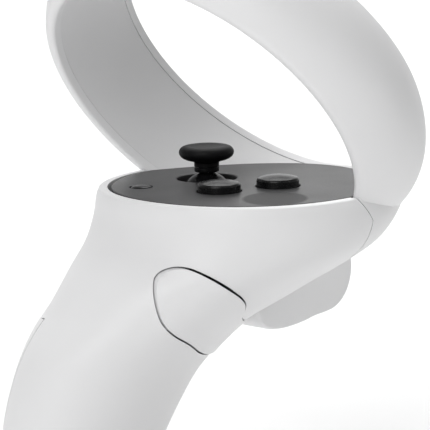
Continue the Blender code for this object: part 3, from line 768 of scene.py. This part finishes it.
@dataclass(frozen=True)
class RingForm:
    """The tracking ring: a tilted band, straight inside and crowned outside."""

    tilt: float = math.radians(51.3)
    rear_centre: Point3 = (0.0, -16.3, 19.0)
    width: float = 27.6
    skew: float = 5.3
    in_rear: float = 41.8
    in_front: float = 40.7
    out_rear: float = 44.2
    out_front: float = 42.6
    crown: float = 6.5
    rim: float = 0.085
    skin: float = 1.8
    sides: int = 192
    tool_sides: int = 128
    # share in from a rim, drop below the rim's radius; then the same where the crown begins
    outer_edge: tuple[Point2, ...] = ((0.0, 1.0), (0.002, 0.6), (0.006, 0.1))
    crown_start: Point2 = (0.018, 0.04)
    body_ends: Point2 = (0.05, 0.95)
    spare_wall: float = 3.0
    # share in from a rim, rise above the rim's inner radius; then where the edge meets the wall
    inner_edge: tuple[Point2, ...] = ((-0.06, 1.7), (0.0, 0.8), (0.004, 0.4), (0.012, 0.12))
    inner_edge_end: float = 0.026
    channel_step: float = 0.002
    room_ends: Point2 = (-0.012, 1.012)
    keepout_ends: Point2 = (-0.015, 1.25)
    keepout_radius: float = 66.0
    behind_share: float = 0.03
    behind_reach: float = 90.0

    @property
    def axle(self) -> Vector:
        """The ring's axle, from its rear rim to its front rim."""
        return Vector((0.0, math.sin(self.tilt), math.cos(self.tilt)))

    @property
    def down(self) -> Vector:
        """Downhill in the ring's plane."""
        return Vector((0.0, math.cos(self.tilt), -math.sin(self.tilt)))

    def point(self, share: float, radius: float, angle: float) -> Vector:
        """A point of the ring.

        Args:
            share: how far across the band, 0 at the rear rim and 1 at the front rim.
            radius: its distance from the axle.
            angle: its angle, 0 at the ring's lowest point.

        Returns:
            The point.
        """
        centre = Vector(self.rear_centre) + share * (self.width * self.axle + self.skew * self.down)
        return centre + radius * (math.cos(angle) * self.down + math.sin(angle) * Vector((1, 0, 0)))

    def inside(self, share: float) -> float:
        """The inner radius at a share of the width."""
        return self.in_rear + (self.in_front - self.in_rear) * share

    def outside(self, share: float) -> float:
        """The outer radius at a share of the width."""
        crown = 4 * self.crown * max(0.0, share * (1 - share))
        return self.out_rear + (self.out_front - self.out_rear) * share + crown

    def rings(self, profile: Sequence[Point2], sides: int | None = None) -> list[list[Vector]]:
        """Rings of points round the axle for pairs of share and radius."""
        count = sides or self.sides
        return [
            [self.point(share, radius, 2 * math.pi * k / count) for k in range(count)]
            for share, radius in profile
        ]

    def band(self, profile: Sequence[Point2], sides: int | None = None) -> Mesh:
        """A closed band round the axle.

        Args:
            profile: its section, as pairs of share and radius.
            sides: points round it, or None for the usual number.

        Returns:
            The mesh, in millimetres.
        """
        mesh = bmesh.new()
        join_rings(mesh, self.rings(profile, sides), closed=True)
        return mesh

    def blank(self) -> Mesh:
        """The ring's outside with rounded rims and a thick inner wall.

        Returns:
            The closed mesh, in millimetres.
        """
        share, dip = self.crown_start
        rear = [(step, self.out_rear - drop) for step, drop in self.outer_edge]
        rear.append((share, self.outside(share) - dip))
        body = [(step, self.outside(step)) for step in shares(*self.body_ends, 22)]
        front = [(1 - share, self.outside(1 - share) - dip)]
        front += [(1 - step, self.out_front - drop) for step, drop in reversed(self.outer_edge)]
        foot = [(1.0, self.in_front - self.spare_wall)]
        return self.band([(0.0, self.in_rear - self.spare_wall), *rear, *body, *front, *foot])

    def void(self) -> Mesh:
        """The ring's hole with rounded edges, and the channel behind its inner cover.

        Returns:
            The closed mesh, in millimetres.
        """
        ends = (self.inner_edge_end, self.rim)
        rows = [(step, self.in_rear + rise) for step, rise in self.inner_edge]
        rows += [(share, self.inside(share)) for share in ends]
        start = self.rim + self.channel_step
        rows += [(share, self.outside(share) - self.skin) for share in shares(start, 1 - start, 9)]
        rows += [(1 - share, self.inside(1 - share)) for share in reversed(ends)]
        rows += [(1 - step, self.in_front + rise) for step, rise in reversed(self.inner_edge)]
        mesh = bmesh.new()
        join_rings(mesh, [
            [self.point(s, r, 2 * math.pi * (k + 0.5) / self.sides) for k in range(self.sides)]
            for s, r in rows
        ])
        return mesh

    def keepout(self, grow: float = 0.35) -> Mesh:
        """Everything from the ring's inner face outwards, for trimming what lies in its way.

        Args:
            grow: the gap to the inner face.

        Returns:
            The closed mesh, in millimetres.
        """
        near, far = self.keepout_ends
        wall = [(near, self.keepout_radius), (far, self.keepout_radius)]
        profile = [(near, self.inside(near) - grow), *wall, (far, self.inside(far) - grow)]
        return self.band(profile, self.tool_sides)

    def clearance(self, grow: float = 0.35) -> Mesh:
        """The ring with a gap all round it.

        Args:
            grow: the gap.

        Returns:
            The closed mesh, in millimetres.
        """
        outer = [(s, self.outside(s) + grow) for s in shares(*self.room_ends, 15)]
        inner = [(s, self.inside(s) - grow) for s in reversed(self.room_ends)]
        return self.band(outer + inner, self.tool_sides)

    def behind(self) -> Mesh:
        """The space on the rear side of a plane just ahead of the ring's rear rim.

        Returns:
            The closed mesh, in millimetres.
        """
        turn = Matrix((Vector((1, 0, 0)), self.down, self.axle)).transposed().to_4x4()
        frame = Matrix.Translation(Vector(self.rear_centre)) @ turn
        reach = self.behind_reach
        return block((-reach, -reach, -reach), (reach, reach, self.behind_share * self.width), frame)


# ---------------------------------------------------------------- assemblies


@dataclass
class Assembly:
    """Something built of pieces that ride on the CAD's bodies."""

    palette: Palette

    def add(
        self, piece: Piece, body: str, finish: Finish, slot: str, *nodes: str
    ) -> None:
        """Dresses a piece, makes it ride on a body, and lets it stand for CAD nodes.

        Args:
            piece: the finished piece.
            body: the CAD body that it moves with.
            finish: its finish.
            slot: the record's material slot; not used.
            *nodes: the CAD nodes that it replaces.
        """
        self.palette.dress(piece, finish)
        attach(piece, body)
        if nodes:
            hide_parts(*nodes)
        LOG.info("%s rides on %s", piece.name, body)


@dataclass
class TrackingRing(Assembly):
    """The ring's moulding, which takes in the front of the head, and its inner cover."""

    ring: RingForm = field(default_factory=RingForm)
    body: BodyForm = field(default_factory=BodyForm)
    cover_gap: float = 0.003
    cover_flat: float = 0.012
    cover_depth: float = 0.1
    # share in from the cover's edge, rise above the ring's inner radius
    cover_edge: tuple[Point2, ...] = ((0.0, 1.3), (0.0, 0.45), (0.002, 0.14))

    @staticmethod
    def front_region(shift: float = 0.0) -> Mesh:
        """The part of the head that belongs to the ring's moulding, ahead of the side seam.

        Args:
            shift: how far the region is grown to the rear and downwards.

        Returns:
            The mesh, in millimetres.
        """
        outline = (
            (-1.4 - shift, 3.0), (-1.4 - shift, 0.0), (3.6 - shift, -6.0),
            (3.8 - shift, -15.4 - shift), (BEYOND, -15.4 - shift), (BEYOND, 3.0),
        )
        return prism(outline, -BEYOND, BEYOND)

    def build(self) -> None:
        """Builds the moulding and the cover."""
        hollow = carve(solid("hollow", self.body.inner()), [self.ring.behind()], Operation.INTERSECT)
        front = carve(solid("front", self.body.outer()), [self.front_region()], Operation.INTERSECT)
        carve(front, [hollow])
        shell = carve(solid("ring_moulding", self.ring.blank()), [front], Operation.UNION)
        carve(shell, [self.ring.void()])
        soften(shell, angle=50.0)
        self.add(shell, "housing", self.palette.finishes.shell, "white_plastic", "ring_outer_shell")
        self.add(self.cover(), "housing", self.palette.finishes.cover, "white_plastic", "ring_inner_cover")

    def cover(self) -> Piece:
        """The band that closes the ring's channel, with a rounded edge to each side.

        Returns:
            The cover.
        """
        start = self.ring.rim + self.cover_gap
        end = 1 - start
        flat = shares(start + self.cover_flat, end - self.cover_flat, 12)
        profile = [(start + step, self.ring.inside(start) + rise) for step, rise in self.cover_edge]
        profile += [(share, self.ring.inside(share) + self.cover_depth) for share in flat]
        profile += [(end - step, self.ring.inside(end) + rise) for step, rise in reversed(self.cover_edge)]
        return soften(solid("ring_cover", self.ring.band(profile)), angle=40.0)


@dataclass
class GripForm:
    """The grip button's outline, its hinge and the room that it moves in."""

    outline: tuple[Point2, ...] = (
        (-37.6, -18.4), (-36.0, -15.0), (-31.4, -13.1), (-27.8, -14.9), (-22.0, -18.9), (-17.6, -21.9),
        (-15.4, -24.4), (-14.6, -28.4), (-9.0, -31.0), (-10.4, -34.0), (-14.5, -38.4), (-22.0, -37.0),
        (-27.6, -32.6), (-33.0, -29.5), (-36.4, -26.2), (-37.6, -22.4),
    )
    axis_top: Point3 = (6.6, -38.0, -13.6)
    axis_end: Point3 = (4.4, -41.0, -29.0)
    proud: float = 0.7
    turn: float = math.radians(20.0)
    start: float = 1.0
    window_start: float = -2.5
    clearance: float = 0.4
    sweep: tuple[float, ...] = (1.5, 3.0, 4.5, 6.0)
    boss_radius: float = 2.2
    boss_half: float = 1.0
    web_start: float = 0.6
    web_half: float = 0.9
    pin_room: float = 1.2
    pin_length: float = 17.0
    # share of the way down the pin, reach out to the button's wall
    arms: tuple[Point2, ...] = ((0.29, 8.2), (0.80, 7.4))

    def cutter(self, by: float, start: float) -> Mesh:
        """The button's outline pushed through the side of the body.

        Args:
            by: how far the outline is grown.
            start: how deep the plug reaches, along the direction it is pushed in.

        Returns:
            The plug's mesh, in millimetres.
        """
        mesh = prism(grown(rounded(self.outline, 3), by), start, BEYOND)
        turn = Matrix.Rotation(-self.turn, 3, "Z")
        bmesh.ops.rotate(mesh, cent=(0, 0, 0), matrix=turn, verts=mesh.verts)
        return mesh

    def room(self, body: BodyForm, degrees: float) -> Piece:
        """The space that the button and its gap take at an angle of squeeze.

        Args:
            body: the form that the button is cut from.
            degrees: the angle.

        Returns:
            The space as a solid.
        """
        hinge = Matrix.Translation(Vector(self.axis_top) * MM)
        turn = Matrix.Rotation(math.radians(degrees), 4, Vector(self.axis_top) - Vector(self.axis_end))
        room = solid("grip_room", body.outer(self.proud))
        carve(room, [self.cutter(self.clearance, self.start - GAP)], Operation.INTERSECT)
        room.data.transform(hinge @ turn @ hinge.inverted())
        return room

    def arm_frame(self, share: float) -> Matrix:
        """Axes at a share of the way down the pin: Z along it, X out to the button."""
        top, end = Vector(self.axis_top), Vector(self.axis_end)
        axis = (end - top).normalized()
        side = Vector((1, 0, 0))
        out = (side - side.dot(axis) * axis).normalized()
        turn = Matrix((out, axis.cross(out), axis)).transposed().to_4x4()
        return Matrix.Translation(top.lerp(end, share)) @ turn


@dataclass
class TriggerForm:
    """The trigger's side outline, pivot and pull arc."""

    pivot: Point3 = (0.0, 13.0, -19.6)
    half: float = 11.2
    arc_radius: float = 23.6
    room: float = 0.5
    under: tuple[Point2, ...] = (
        (-3.4, -35.0), (0.5, -35.8), (5.0, -35.8), (9.5, -35.4), (14.0, -34.6), (19.0, -34.4),
        (24.0, -33.8), (28.0, -31.6), (30.2, -27.6), (30.2, -22.6),
    )
    top: tuple[Point2, ...] = (
        (27.4, -18.2), (21.6, -17.4), (15.6, -16.9), (10.6, -16.9), (8.0, -19.6), (1.0, -23.2),
    )

    def arc(self, radius: float, angles: Sequence[float]) -> list[Point2]:
        """Points on a circle about the pivot, on its rear side.

        Args:
            radius: the circle's radius.
            angles: degrees below the level line to the rear.

        Returns:
            Pairs of y and z.
        """
        _, y, z = self.pivot
        return [
            (y - radius * math.cos(math.radians(a)), z - radius * math.sin(math.radians(a)))
            for a in angles
        ]

    def outline(self) -> list[Point2]:
        """The trigger seen from the side."""
        return [*self.arc(self.arc_radius, (12, 18, 24, 30, 36)), *self.under, *self.top]

    def mouth(self) -> Mesh:
        """The trigger's way through the housing."""
        arc = self.arc(self.arc_radius + self.room, (4, 11, 18, 25, 32, 38))
        outline = [*arc, (-2.0, -44.0), (36.0, -44.0), (36.0, -15.0), (-4.0, -15.0)]
        return prism(outline, -self.half - self.room, self.half + self.room)


@dataclass
class Housing(Assembly):
    """The head and handle shell and its battery door."""

    body: BodyForm = field(default_factory=BodyForm)
    ring: RingForm = field(default_factory=RingForm)
    grip: GripForm = field(default_factory=GripForm)
    trigger: TriggerForm = field(default_factory=TriggerForm)
    handle_top: Point3 = (-10.6, -32.5, -36.0)
    handle_way: Point3 = (-0.13, -0.40, -0.907)
    door_split: float = 8.6
    door_top: float = 1.0
    door_length: float = 90.0
    door_reach: float = 45.0
    lanyard_slot: tuple[Point3, Point3] = ((-22.5, -58.4, -96.0), (-12.5, -55.2, -84.0))
    sharp: float = 28.0

    def handle_axes(self) -> Matrix:
        """Axes of the handle: local Z runs down it, local X to the inner side."""
        down = Vector(self.handle_way).normalized()
        side = (Vector((1, 0, 0)) - Vector((1, 0, 0)).dot(down) * down).normalized()
        turn = Matrix((side, down.cross(side), down)).transposed().to_4x4()
        return Matrix.Translation(Vector(self.handle_top)) @ turn

    def door_block(self, gap: float) -> Mesh:
        """The space of the battery door, shrunk by a gap.

        Args:
            gap: how far its top and its inner side are drawn in.

        Returns:
            The mesh, in millimetres.
        """
        low = (-self.door_reach, -self.door_reach, self.door_top + gap)
        high = (-self.door_split - gap, self.door_reach, self.door_length)
        return block(low, high, self.handle_axes())

    def build(self) -> None:
        """Builds the shell and the door."""
        shell = solid("housing_form", self.body.outer())
        carve(shell, [
            self.body.inner(),
            self.door_block(0.0),
            self.grip.cutter(self.grip.clearance, self.grip.window_start),
            block(*self.lanyard_slot),
            TrackingRing.front_region(GAP),
            self.ring.clearance(),
            self.trigger.mouth(),
            *[self.grip.room(self.body, degrees) for degrees in self.grip.sweep],
        ])
        soften(shell, angle=self.sharp)
        self.add(shell, "housing", self.palette.finishes.shell, "white_plastic", "housing_shell")
        door = carve(solid("door_form", self.body.outer()), [self.door_block(GAP)], Operation.INTERSECT)
        carve(door, [self.body.inner()])
        soften(door, angle=self.sharp)
        self.add(door, "battery_door", self.palette.finishes.shell, "white_plastic", "battery_door")


@dataclass
class GripButton(Assembly):
    """The grip button: the housing's own surface, slightly raised, with two arms to its pin."""

    body: BodyForm = field(default_factory=BodyForm)
    grip: GripForm = field(default_factory=GripForm)
    wall: float = 2.6
    edge: float = 0.35

    def build(self) -> None:
        """Builds the button."""
        button = solid("grip_form", self.body.outer(self.grip.proud))
        carve(button, [self.grip.cutter(0.0, self.grip.start)], Operation.INTERSECT)
        carve(button, [self.body.inner(self.wall)])
        soften(button, self.edge, 35.0)
        top, end = Vector(self.grip.axis_top), Vector(self.grip.axis_end)
        axis = end - top
        half, radius = self.grip.boss_half, self.grip.boss_radius
        for share, reach in self.grip.arms:
            low = (self.grip.web_start, -self.grip.web_half, -half)
            web = block(low, (reach, self.grip.web_half, half), self.grip.arm_frame(share))
            boss = turned(((radius, -half), (radius, half)), top.lerp(end, share), axis, 48)
            carve(button, [web, boss], Operation.UNION)
        room = self.grip.pin_room
        carve(button, [turned(((room, 0.0), (room, self.grip.pin_length)), top, axis, 48)])
        self.add(button, "grip", self.palette.finishes.shell, "white_plastic", "grip_button")


@dataclass
class Trigger(Assembly):
    """The index trigger."""

    form: TriggerForm = field(default_factory=TriggerForm)
    hub: Point2 = (11.0, -25.0)
    # side share, scale of the outline, scale of its nose
    steps: tuple[Point3, ...] = (
        (1.0, 0.955, 0.76), (0.985, 0.972, 0.785), (0.94, 0.985, 0.82), (0.88, 0.996, 0.85),
        (0.82, 1.0, 0.88), (0.68, 1.0, 0.925), (0.55, 1.0, 0.96), (0.3, 1.0, 0.99),
    )
    wall: float = 2.4
    pocket: tuple[Point2, ...] = (
        (-6.6, -26.4), (-5.4, -30.8), (0.6, -32.8), (9.6, -30.4), (18.6, -29.8), (23.4, -26.6),
        (20.4, -23.4), (15.0, -23.4), (9.0, -23.4), (6.0, -21.0), (2.0, -14.0), (-6.6, -14.0),
    )
    # radius, half length along the pin
    pin_room: Point2 = (1.25, 10.5)
    spring_room: Point2 = (4.0, 4.0)
    cheek: Point2 = (7.9, 9.7)
    cheek_room: Point2 = (4.2, 4.4)
    taper_start: float = -20.0
    taper: float = 0.012

    def build(self) -> None:
        """Builds the trigger from side outlines that draw in towards its flanks."""
        outline = rounded(self.form.outline(), 2)
        left = [(-side, scale, nose) for side, scale, nose in self.steps]
        steps = [*left, (0.0, 1.0, 1.0), *reversed(self.steps)]
        mesh = bmesh.new()
        join_rings(mesh, [[self.place(point, *step) for point in outline] for step in steps])
        piece = solid("trigger_form", mesh)
        carve(piece, [
            prism(self.pocket, -self.form.half + self.wall, self.form.half - self.wall),
            self.bore(*self.pin_room, 32),
            self.bore(*self.spring_room, 48),
            self.cheek_slot(self.cheek[0]),
            self.cheek_slot(-self.cheek[1]),
        ])
        soften(piece, angle=38.0)
        self.add(piece, "trigger", self.palette.finishes.shell, "white_plastic", "trigger")

    def bore(self, radius: float, half: float, sides: int) -> Mesh:
        """A round room along the trigger's pin."""
        return turned(((radius, -half), (radius, half)), self.form.pivot, (1, 0, 0), sides)

    def cheek_slot(self, start: float) -> Mesh:
        """The room of one of the bracket's cheeks.

        Args:
            start: where the slot starts on X.

        Returns:
            The mesh, in millimetres.
        """
        _, y, z = self.form.pivot
        below, ahead = self.cheek_room
        end = start + self.cheek[1] - self.cheek[0]
        return block((start, 2.0, z - below), (end, y + ahead, -10.0))

    def place(self, point: Point2, side: float, scale: float, nose: float) -> Vector:
        """Lays an outline point on one of the trigger's side sections.

        Args:
            point: the point's y and z on the middle section.
            side: where the section is, as a share of the half width.
            scale: how much the outline is drawn in.
            nose: how much its front is drawn in.

        Returns:
            The point in the row frame.
        """
        way = Vector(point) - Vector(self.hub)
        way.x *= nose if way.x > 0 else scale
        narrow = 1.0 - self.taper * max(0.0, self.taper_start - point[1])
        across = self.form.half * side * narrow
        return Vector((across, self.hub[0] + way.x, self.hub[1] + way.y * scale))


@dataclass
class Face(Assembly):
    """The face plate with its stick, buttons and menu button."""

    ring: RingForm = field(default_factory=RingForm)
    plate_radius: float = 33.6
    stick: Point2 = (-13.7, -0.3)
    stick_pivot: float = -5.0
    stick_hole: float = 7.4
    keys: tuple[tuple[str, Point2], ...] = (("button_x", (2.4, -13.0)), ("button_y", (8.6, 1.2)))
    key_radius: float = 5.2
    # height of the shoulder, reach of the flange, rise of the dome
    key_sizes: Point3 = (2.1, 0.9, 0.65)
    menu: Point2 = (-17.1, -20.0)
    menu_radius: float = 2.6
    menu_sizes: Point3 = (0.22, 0.7, 0.12)
    key_room: float = 0.3
    flange: Point2 = (-3.2, -2.4)
    # how far in from the key's radius, how far below the shoulder
    key_edge: tuple[Point2, ...] = ((0.0, 0.75), (0.06, 0.5), (0.2, 0.26), (0.42, 0.08), (0.75, 0.0))
    # radius and height above the stick's pivot
    cap_profile: tuple[Point2, ...] = (
        (0.0, 11.6), (2.2, 11.6), (2.2, 7.95), (3.1, 7.95), (3.1, 8.9), (3.3, 9.15), (4.2, 9.4),
        (5.1, 9.65), (5.9, 10.0), (6.45, 10.45), (6.75, 10.95), (6.85, 11.45), (6.78, 11.95),
        (6.5, 12.4), (6.1, 12.74), (5.6, 12.95), (5.1, 13.04), (4.6, 13.03), (4.1, 12.93),
        (3.5, 12.8), (2.4, 12.67), (1.2, 12.6), (0.0, 12.58),
    )
    shaft_profile: tuple[Point2, ...] = (
        (0.0, -1.4), (1.5, -1.4), (1.5, 6.4), (2.7, 6.55), (3.02, 6.68), (3.1, 6.9), (3.1, 7.75),
        (1.9, 7.75), (1.9, 11.3), (0.0, 11.3),
    )
    axle: Point2 = (0.6, 3.5)
    knurls: int = 40
    knurl_radius: float = 0.22
    knurl_ring: float = 7.02
    knurl_span: Point2 = (10.6, 12.3)
    skirt_radii: Point2 = (6.5, 5.8)
    skirt_top: tuple[Point2, ...] = ((1.85, 6.25), (1.85, 5.55))

    def build(self) -> None:
        """Builds everything on the face."""
        self.build_plate()
        for name, centre in self.keys:
            self.build_key(name, name, centre, self.key_radius, self.key_sizes)
        self.build_key("menu", "menu_button", self.menu, self.menu_radius, self.menu_sizes)
        self.build_stick()

    def build_plate(self) -> None:
        """Builds the plate with softened edges at its rim and holes."""
        r = self.plate_radius
        plate = solid("plate_form", turned(
            ((r - 0.2, -2.0), (r, -1.7), (r, -0.35), (r - 0.1, -0.12), (r - 0.32, 0.0)),
            (0, 0, 0), sides=192,
        ))
        tools = [self.ring.keepout(), self.hole(self.stick, self.stick_hole, 0.5)]
        tools += [self.hole(centre, self.key_radius + self.key_room, 0.2) for _, centre in self.keys]
        tools.append(self.hole(self.menu, self.menu_radius + self.key_room, 0.15))
        carve(plate, tools)
        soften(plate, angle=25.0)
        self.add(plate, "housing", self.palette.finishes.plate, "dark_plate", "face_plate")

    @staticmethod
    def hole(centre: Point2, radius: float, chamfer: float) -> Mesh:
        """A hole through the plate, opened a little at its top.

        Args:
            centre: the hole's centre.
            radius: its radius.
            chamfer: how much wider it is at the plate's top.

        Returns:
            The tool's mesh.
        """
        profile = ((radius, -5.0), (radius, -chamfer), (radius + chamfer * 0.3, -chamfer * 0.3),
                   (radius + chamfer, 0.02), (radius + chamfer, 3.0))
        return turned(profile, (*centre, 0.0), sides=96)

    def build_key(self, name: str, node: str, centre: Point2, radius: float, sizes: Point3) -> None:
        """Builds a round key with a flange under the plate and a domed top.

        Args:
            name: what it is.
            node: the CAD node and body that it stands for.
            centre: its place on the plate.
            radius: its radius.
            sizes: the height of its shoulder, the flange's reach and the dome's rise.
        """
        top, reach, dome = sizes
        low, high = self.flange
        crown = radius - self.key_edge[-1][0]
        profile = [(0.0, low), (radius + reach, low), (radius + reach, high), (radius, high)]
        profile += [(radius - inwards, top - below) for inwards, below in self.key_edge]
        profile += [(crown * (1 - t), top + dome * (1 - (1 - t) ** 2)) for t in shares(0.12, 1.0, 9)]
        key = soften(solid(f"{name}_form", turned(profile, (*centre, 0.0))), angle=40.0)
        self.add(key, node, self.palette.finishes.key, "black_plastic", node)

    def build_stick(self) -> None:
        """Builds the stick's cap, its shaft and the dome that closes the hole round it."""
        pivot = (*self.stick, self.stick_pivot)
        finishes = self.palette.finishes
        cap = carve(solid("stick_cap_form", turned(self.cap_profile, pivot)), [self.knurl_tool(pivot)])
        self.add(soften(cap, angle=30.0), "stick", finishes.rubber, "black_rubber", "stick_cap")
        shaft = solid("stick_shaft_form", turned(self.shaft_profile, pivot, sides=64))
        radius, half = self.axle
        carve(shaft, [turned(((radius, -half), (radius, half)), pivot, (0, 1, 0), 24)], Operation.UNION)
        self.add(soften(shaft, angle=35.0), "stick", finishes.key, "black_plastic", "stick_shaft")
        outer, inner = (
            [(radius * math.sin(math.radians(a)), radius * math.cos(math.radians(a))) for a in angles]
            for radius, angles in zip(self.skirt_radii, (range(90, 17, -6), range(18, 91, 8)))
        )
        skirt = turned([*outer, *self.skirt_top, *inner], pivot, closed=True)
        piece = soften(solid("stick_skirt_form", skirt), angle=35.0)
        self.add(piece, "stick", finishes.key, "black_plastic", "stick_skirt")

    def knurl_tool(self, pivot: Point3) -> Mesh:
        """Fine upright grooves round the stick cap's edge.

        Args:
            pivot: the stick's pivot.

        Returns:
            The grooves' mesh.
        """
        profile = [(self.knurl_radius, height) for height in self.knurl_span]
        mesh = bmesh.new()
        for k in range(self.knurls):
            angle = 2 * math.pi * k / self.knurls
            spot = Vector(pivot) + self.knurl_ring * Vector((math.cos(angle), math.sin(angle), 0.0))
            join_rings(mesh, circle_rings(profile, spot, (0, 0, 1), 8))
        return mesh


@dataclass
class Internals(Assembly):
    """The CAD nodes that stay as they are and get their real finish."""

    steel: tuple[str, ...] = (
        "frame_screw_1", "frame_screw_2", "frame_screw_3", "frame_screw_4", "dome_switch_x",
        "dome_switch_y", "dome_switch_menu", "stick_module_case", "shield_can", "haptic_motor",
        "trigger_pin", "trigger_spring", "trigger_magnet", "grip_pin", "grip_spring",
        "battery_plate_contact", "battery_spring_contact", "lanyard_bar",
    )
    plastic: tuple[str, ...] = (
        "inner_frame", "stick_yoke", "trigger_bracket", "battery_tray", "door_latch",
    )
    natural: tuple[str, ...] = ("stick_slider", "battery_connector", "antenna")
    boards: tuple[str, ...] = ("main_board", "button_board", "trigger_hall_board")
    black: tuple[str, ...] = ("stick_sensor_pitch", "stick_sensor_roll")

    def build(self, nodes: dict[str, Piece]) -> None:
        """Dresses every inner node.

        Args:
            nodes: the frame's nodes by name.
        """
        finishes = self.palette.finishes
        groups: list[tuple[tuple[str, ...], Finish]] = [
            (self.steel, finishes.steel), (self.plastic, finishes.inner),
            (self.natural, finishes.natural), (self.boards, finishes.mask),
            (self.black, finishes.key), (("button_mat",), finishes.silicone),
            (("battery_cell",), finishes.sleeve), (("ring_led_strip",), finishes.film),
        ]
        for names, finish in groups:
            for name in names:
                self.palette.dress(nodes[name], finish)
                LOG.info("%s is dressed in %s", name, finish.name)


# ---------------------------------------------------------------- studio


@dataclass
class Studio:
    """Floor, lights and camera."""

    azimuth: float = 42.7
    elevation: float = 9.39
    roll: float = -1.12
    distance: float = 0.600
    lens: float = 205.2
    aim_right: float = -0.01363
    aim_up: float = -0.01318
    floor_level: float = -0.0902
    surround: float = 0.33
    key_power: float = 5.5
    key_size: float = 0.7
    key_distance: float = 1.1
    backdrop_power: float = 13.0
    backdrop_size: float = 1.1
    sweep_near: float = -3.0
    sweep_start: float = 0.8
    sweep_radius: float = 0.8
    sweep_height: float = 4.0
    sweep_half: float = 4.0

    def build(self) -> None:
        """Builds everything that isn't the object."""
        self.build_camera()
        self.build_floor()
        self.build_lights()

    def axes(self) -> tuple[Vector, Vector, Vector]:
        """The camera's backward, right and up directions, before it is re-aimed."""
        a, e, r = (math.radians(v) for v in (self.azimuth, self.elevation, self.roll))
        back = Vector((math.sin(a) * math.cos(e), -math.cos(a) * math.cos(e), math.sin(e)))
        right = Vector((math.cos(a), math.sin(a), 0.0))
        up = back.cross(right)
        return back, math.cos(r) * right + math.sin(r) * up, -math.sin(r) * right + math.cos(r) * up

    def build_camera(self) -> None:
        """Places the camera at the plate's rear inner side, just above its level."""
        back, right, up = self.axes()
        data = bpy.data.cameras.new("camera")
        data.lens = self.lens
        data.sensor_width = 36.0
        data.clip_start = 0.05
        data.clip_end = 20.0
        camera = bpy.data.objects.new("camera", data)
        bpy.context.scene.collection.objects.link(camera)
        view = (-back + self.aim_right * right + self.aim_up * up).normalized()
        side = view.cross(up).normalized()
        turn = Matrix((side, side.cross(view), -view)).transposed().to_4x4()
        camera.matrix_world = Matrix.Translation(back * self.distance) @ turn
        bpy.context.scene.camera = camera

    def build_floor(self) -> None:
        """Lays a pale floor that curves up into a backdrop behind the object."""
        back, _, _ = self.axes()
        away = Vector((-back.x, -back.y, 0.0)).normalized()
        side = Vector((-away.y, away.x, 0.0))
        start, radius = self.sweep_start, self.sweep_radius
        line = [(self.sweep_near, 0.0), (0.0, 0.0), (start, 0.0)]
        bend = shares(0.15, math.pi / 2, 10)
        line += [(start + radius * math.sin(t), radius - radius * math.cos(t)) for t in bend]
        line.append((start + radius, self.sweep_height))
        mesh = bmesh.new()
        rows = []
        for along, up in line:
            spot = away * along + Vector((0, 0, self.floor_level + up))
            ends = (-self.sweep_half, self.sweep_half)
            rows.append([mesh.verts.new(spot + side * reach) for reach in ends])
        for low, high in zip(rows, rows[1:]):
            mesh.faces.new((low[0], low[1], high[1], high[0]))
        data = bpy.data.meshes.new("sweep")
        mesh.to_mesh(data)
        mesh.free()
        data.shade_smooth()
        floor = bpy.data.objects.new("sweep", data)
        bpy.context.scene.collection.objects.link(floor)
        paper = Finish("sweep_paper", (0.93, 0.93, 0.93), 0.9, grain_per_mm=0.6, mottle=0.004)
        data.materials.append(paper.build())

    def build_lights(self) -> None:
        """Soft boxes above, behind and beside, and a bright even surround."""
        world = bpy.context.scene.world or bpy.data.worlds.new("surround")
        bpy.context.scene.world = world
        world.use_nodes = True
        shade = world.node_tree.nodes["Background"]
        shade.inputs["Color"].default_value = (1.0, 1.0, 1.0, 1.0)
        shade.inputs["Strength"].default_value = self.surround
        bpy.context.scene.view_settings.view_transform = "Standard"
        back, right, up = self.axes()
        away = Vector((-back.x, -back.y, 0.0)).normalized()
        key = (-0.38 * right + 0.5 * up + back).normalized() * self.key_distance
        self.lamp("key", key, Vector((0, 0, 0)), self.key_size, self.key_power)
        above = away * 0.7 + Vector((0, 0, 1.0))
        self.lamp("backdrop", above, away * 0.75, self.backdrop_size, self.backdrop_power)

    @staticmethod
    def lamp(name: str, place: Vector, target: Vector, size: float, power: float) -> None:
        """A square soft box.

        Args:
            name: its name.
            place: where it hangs, in metres.
            target: the point that it faces.
            size: its side, in metres.
            power: its power, in watts.
        """
        data = bpy.data.lights.new(name, "AREA")
        data.size = size
        data.energy = power
        lamp = bpy.data.objects.new(name, data)
        lamp.location = place
        lamp.rotation_mode = "QUATERNION"
        lamp.rotation_quaternion = (place - target).to_track_quat("Z", "Y")
        bpy.context.scene.collection.objects.link(lamp)


def main() -> None:
    """Loads the frame, builds every assembly in order, and sets up the studio."""
    logging.basicConfig(level=logging.INFO, format="%(name)s: %(message)s")
    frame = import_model()
    palette = Palette(FinishSet())
    Studio().build()
    TrackingRing(palette).build()
    Housing(palette).build()
    GripButton(palette).build()
    Trigger(palette).build()
    Face(palette).build()
    Internals(palette).build(frame["nodes"])


if __name__ == "__main__":
    main()
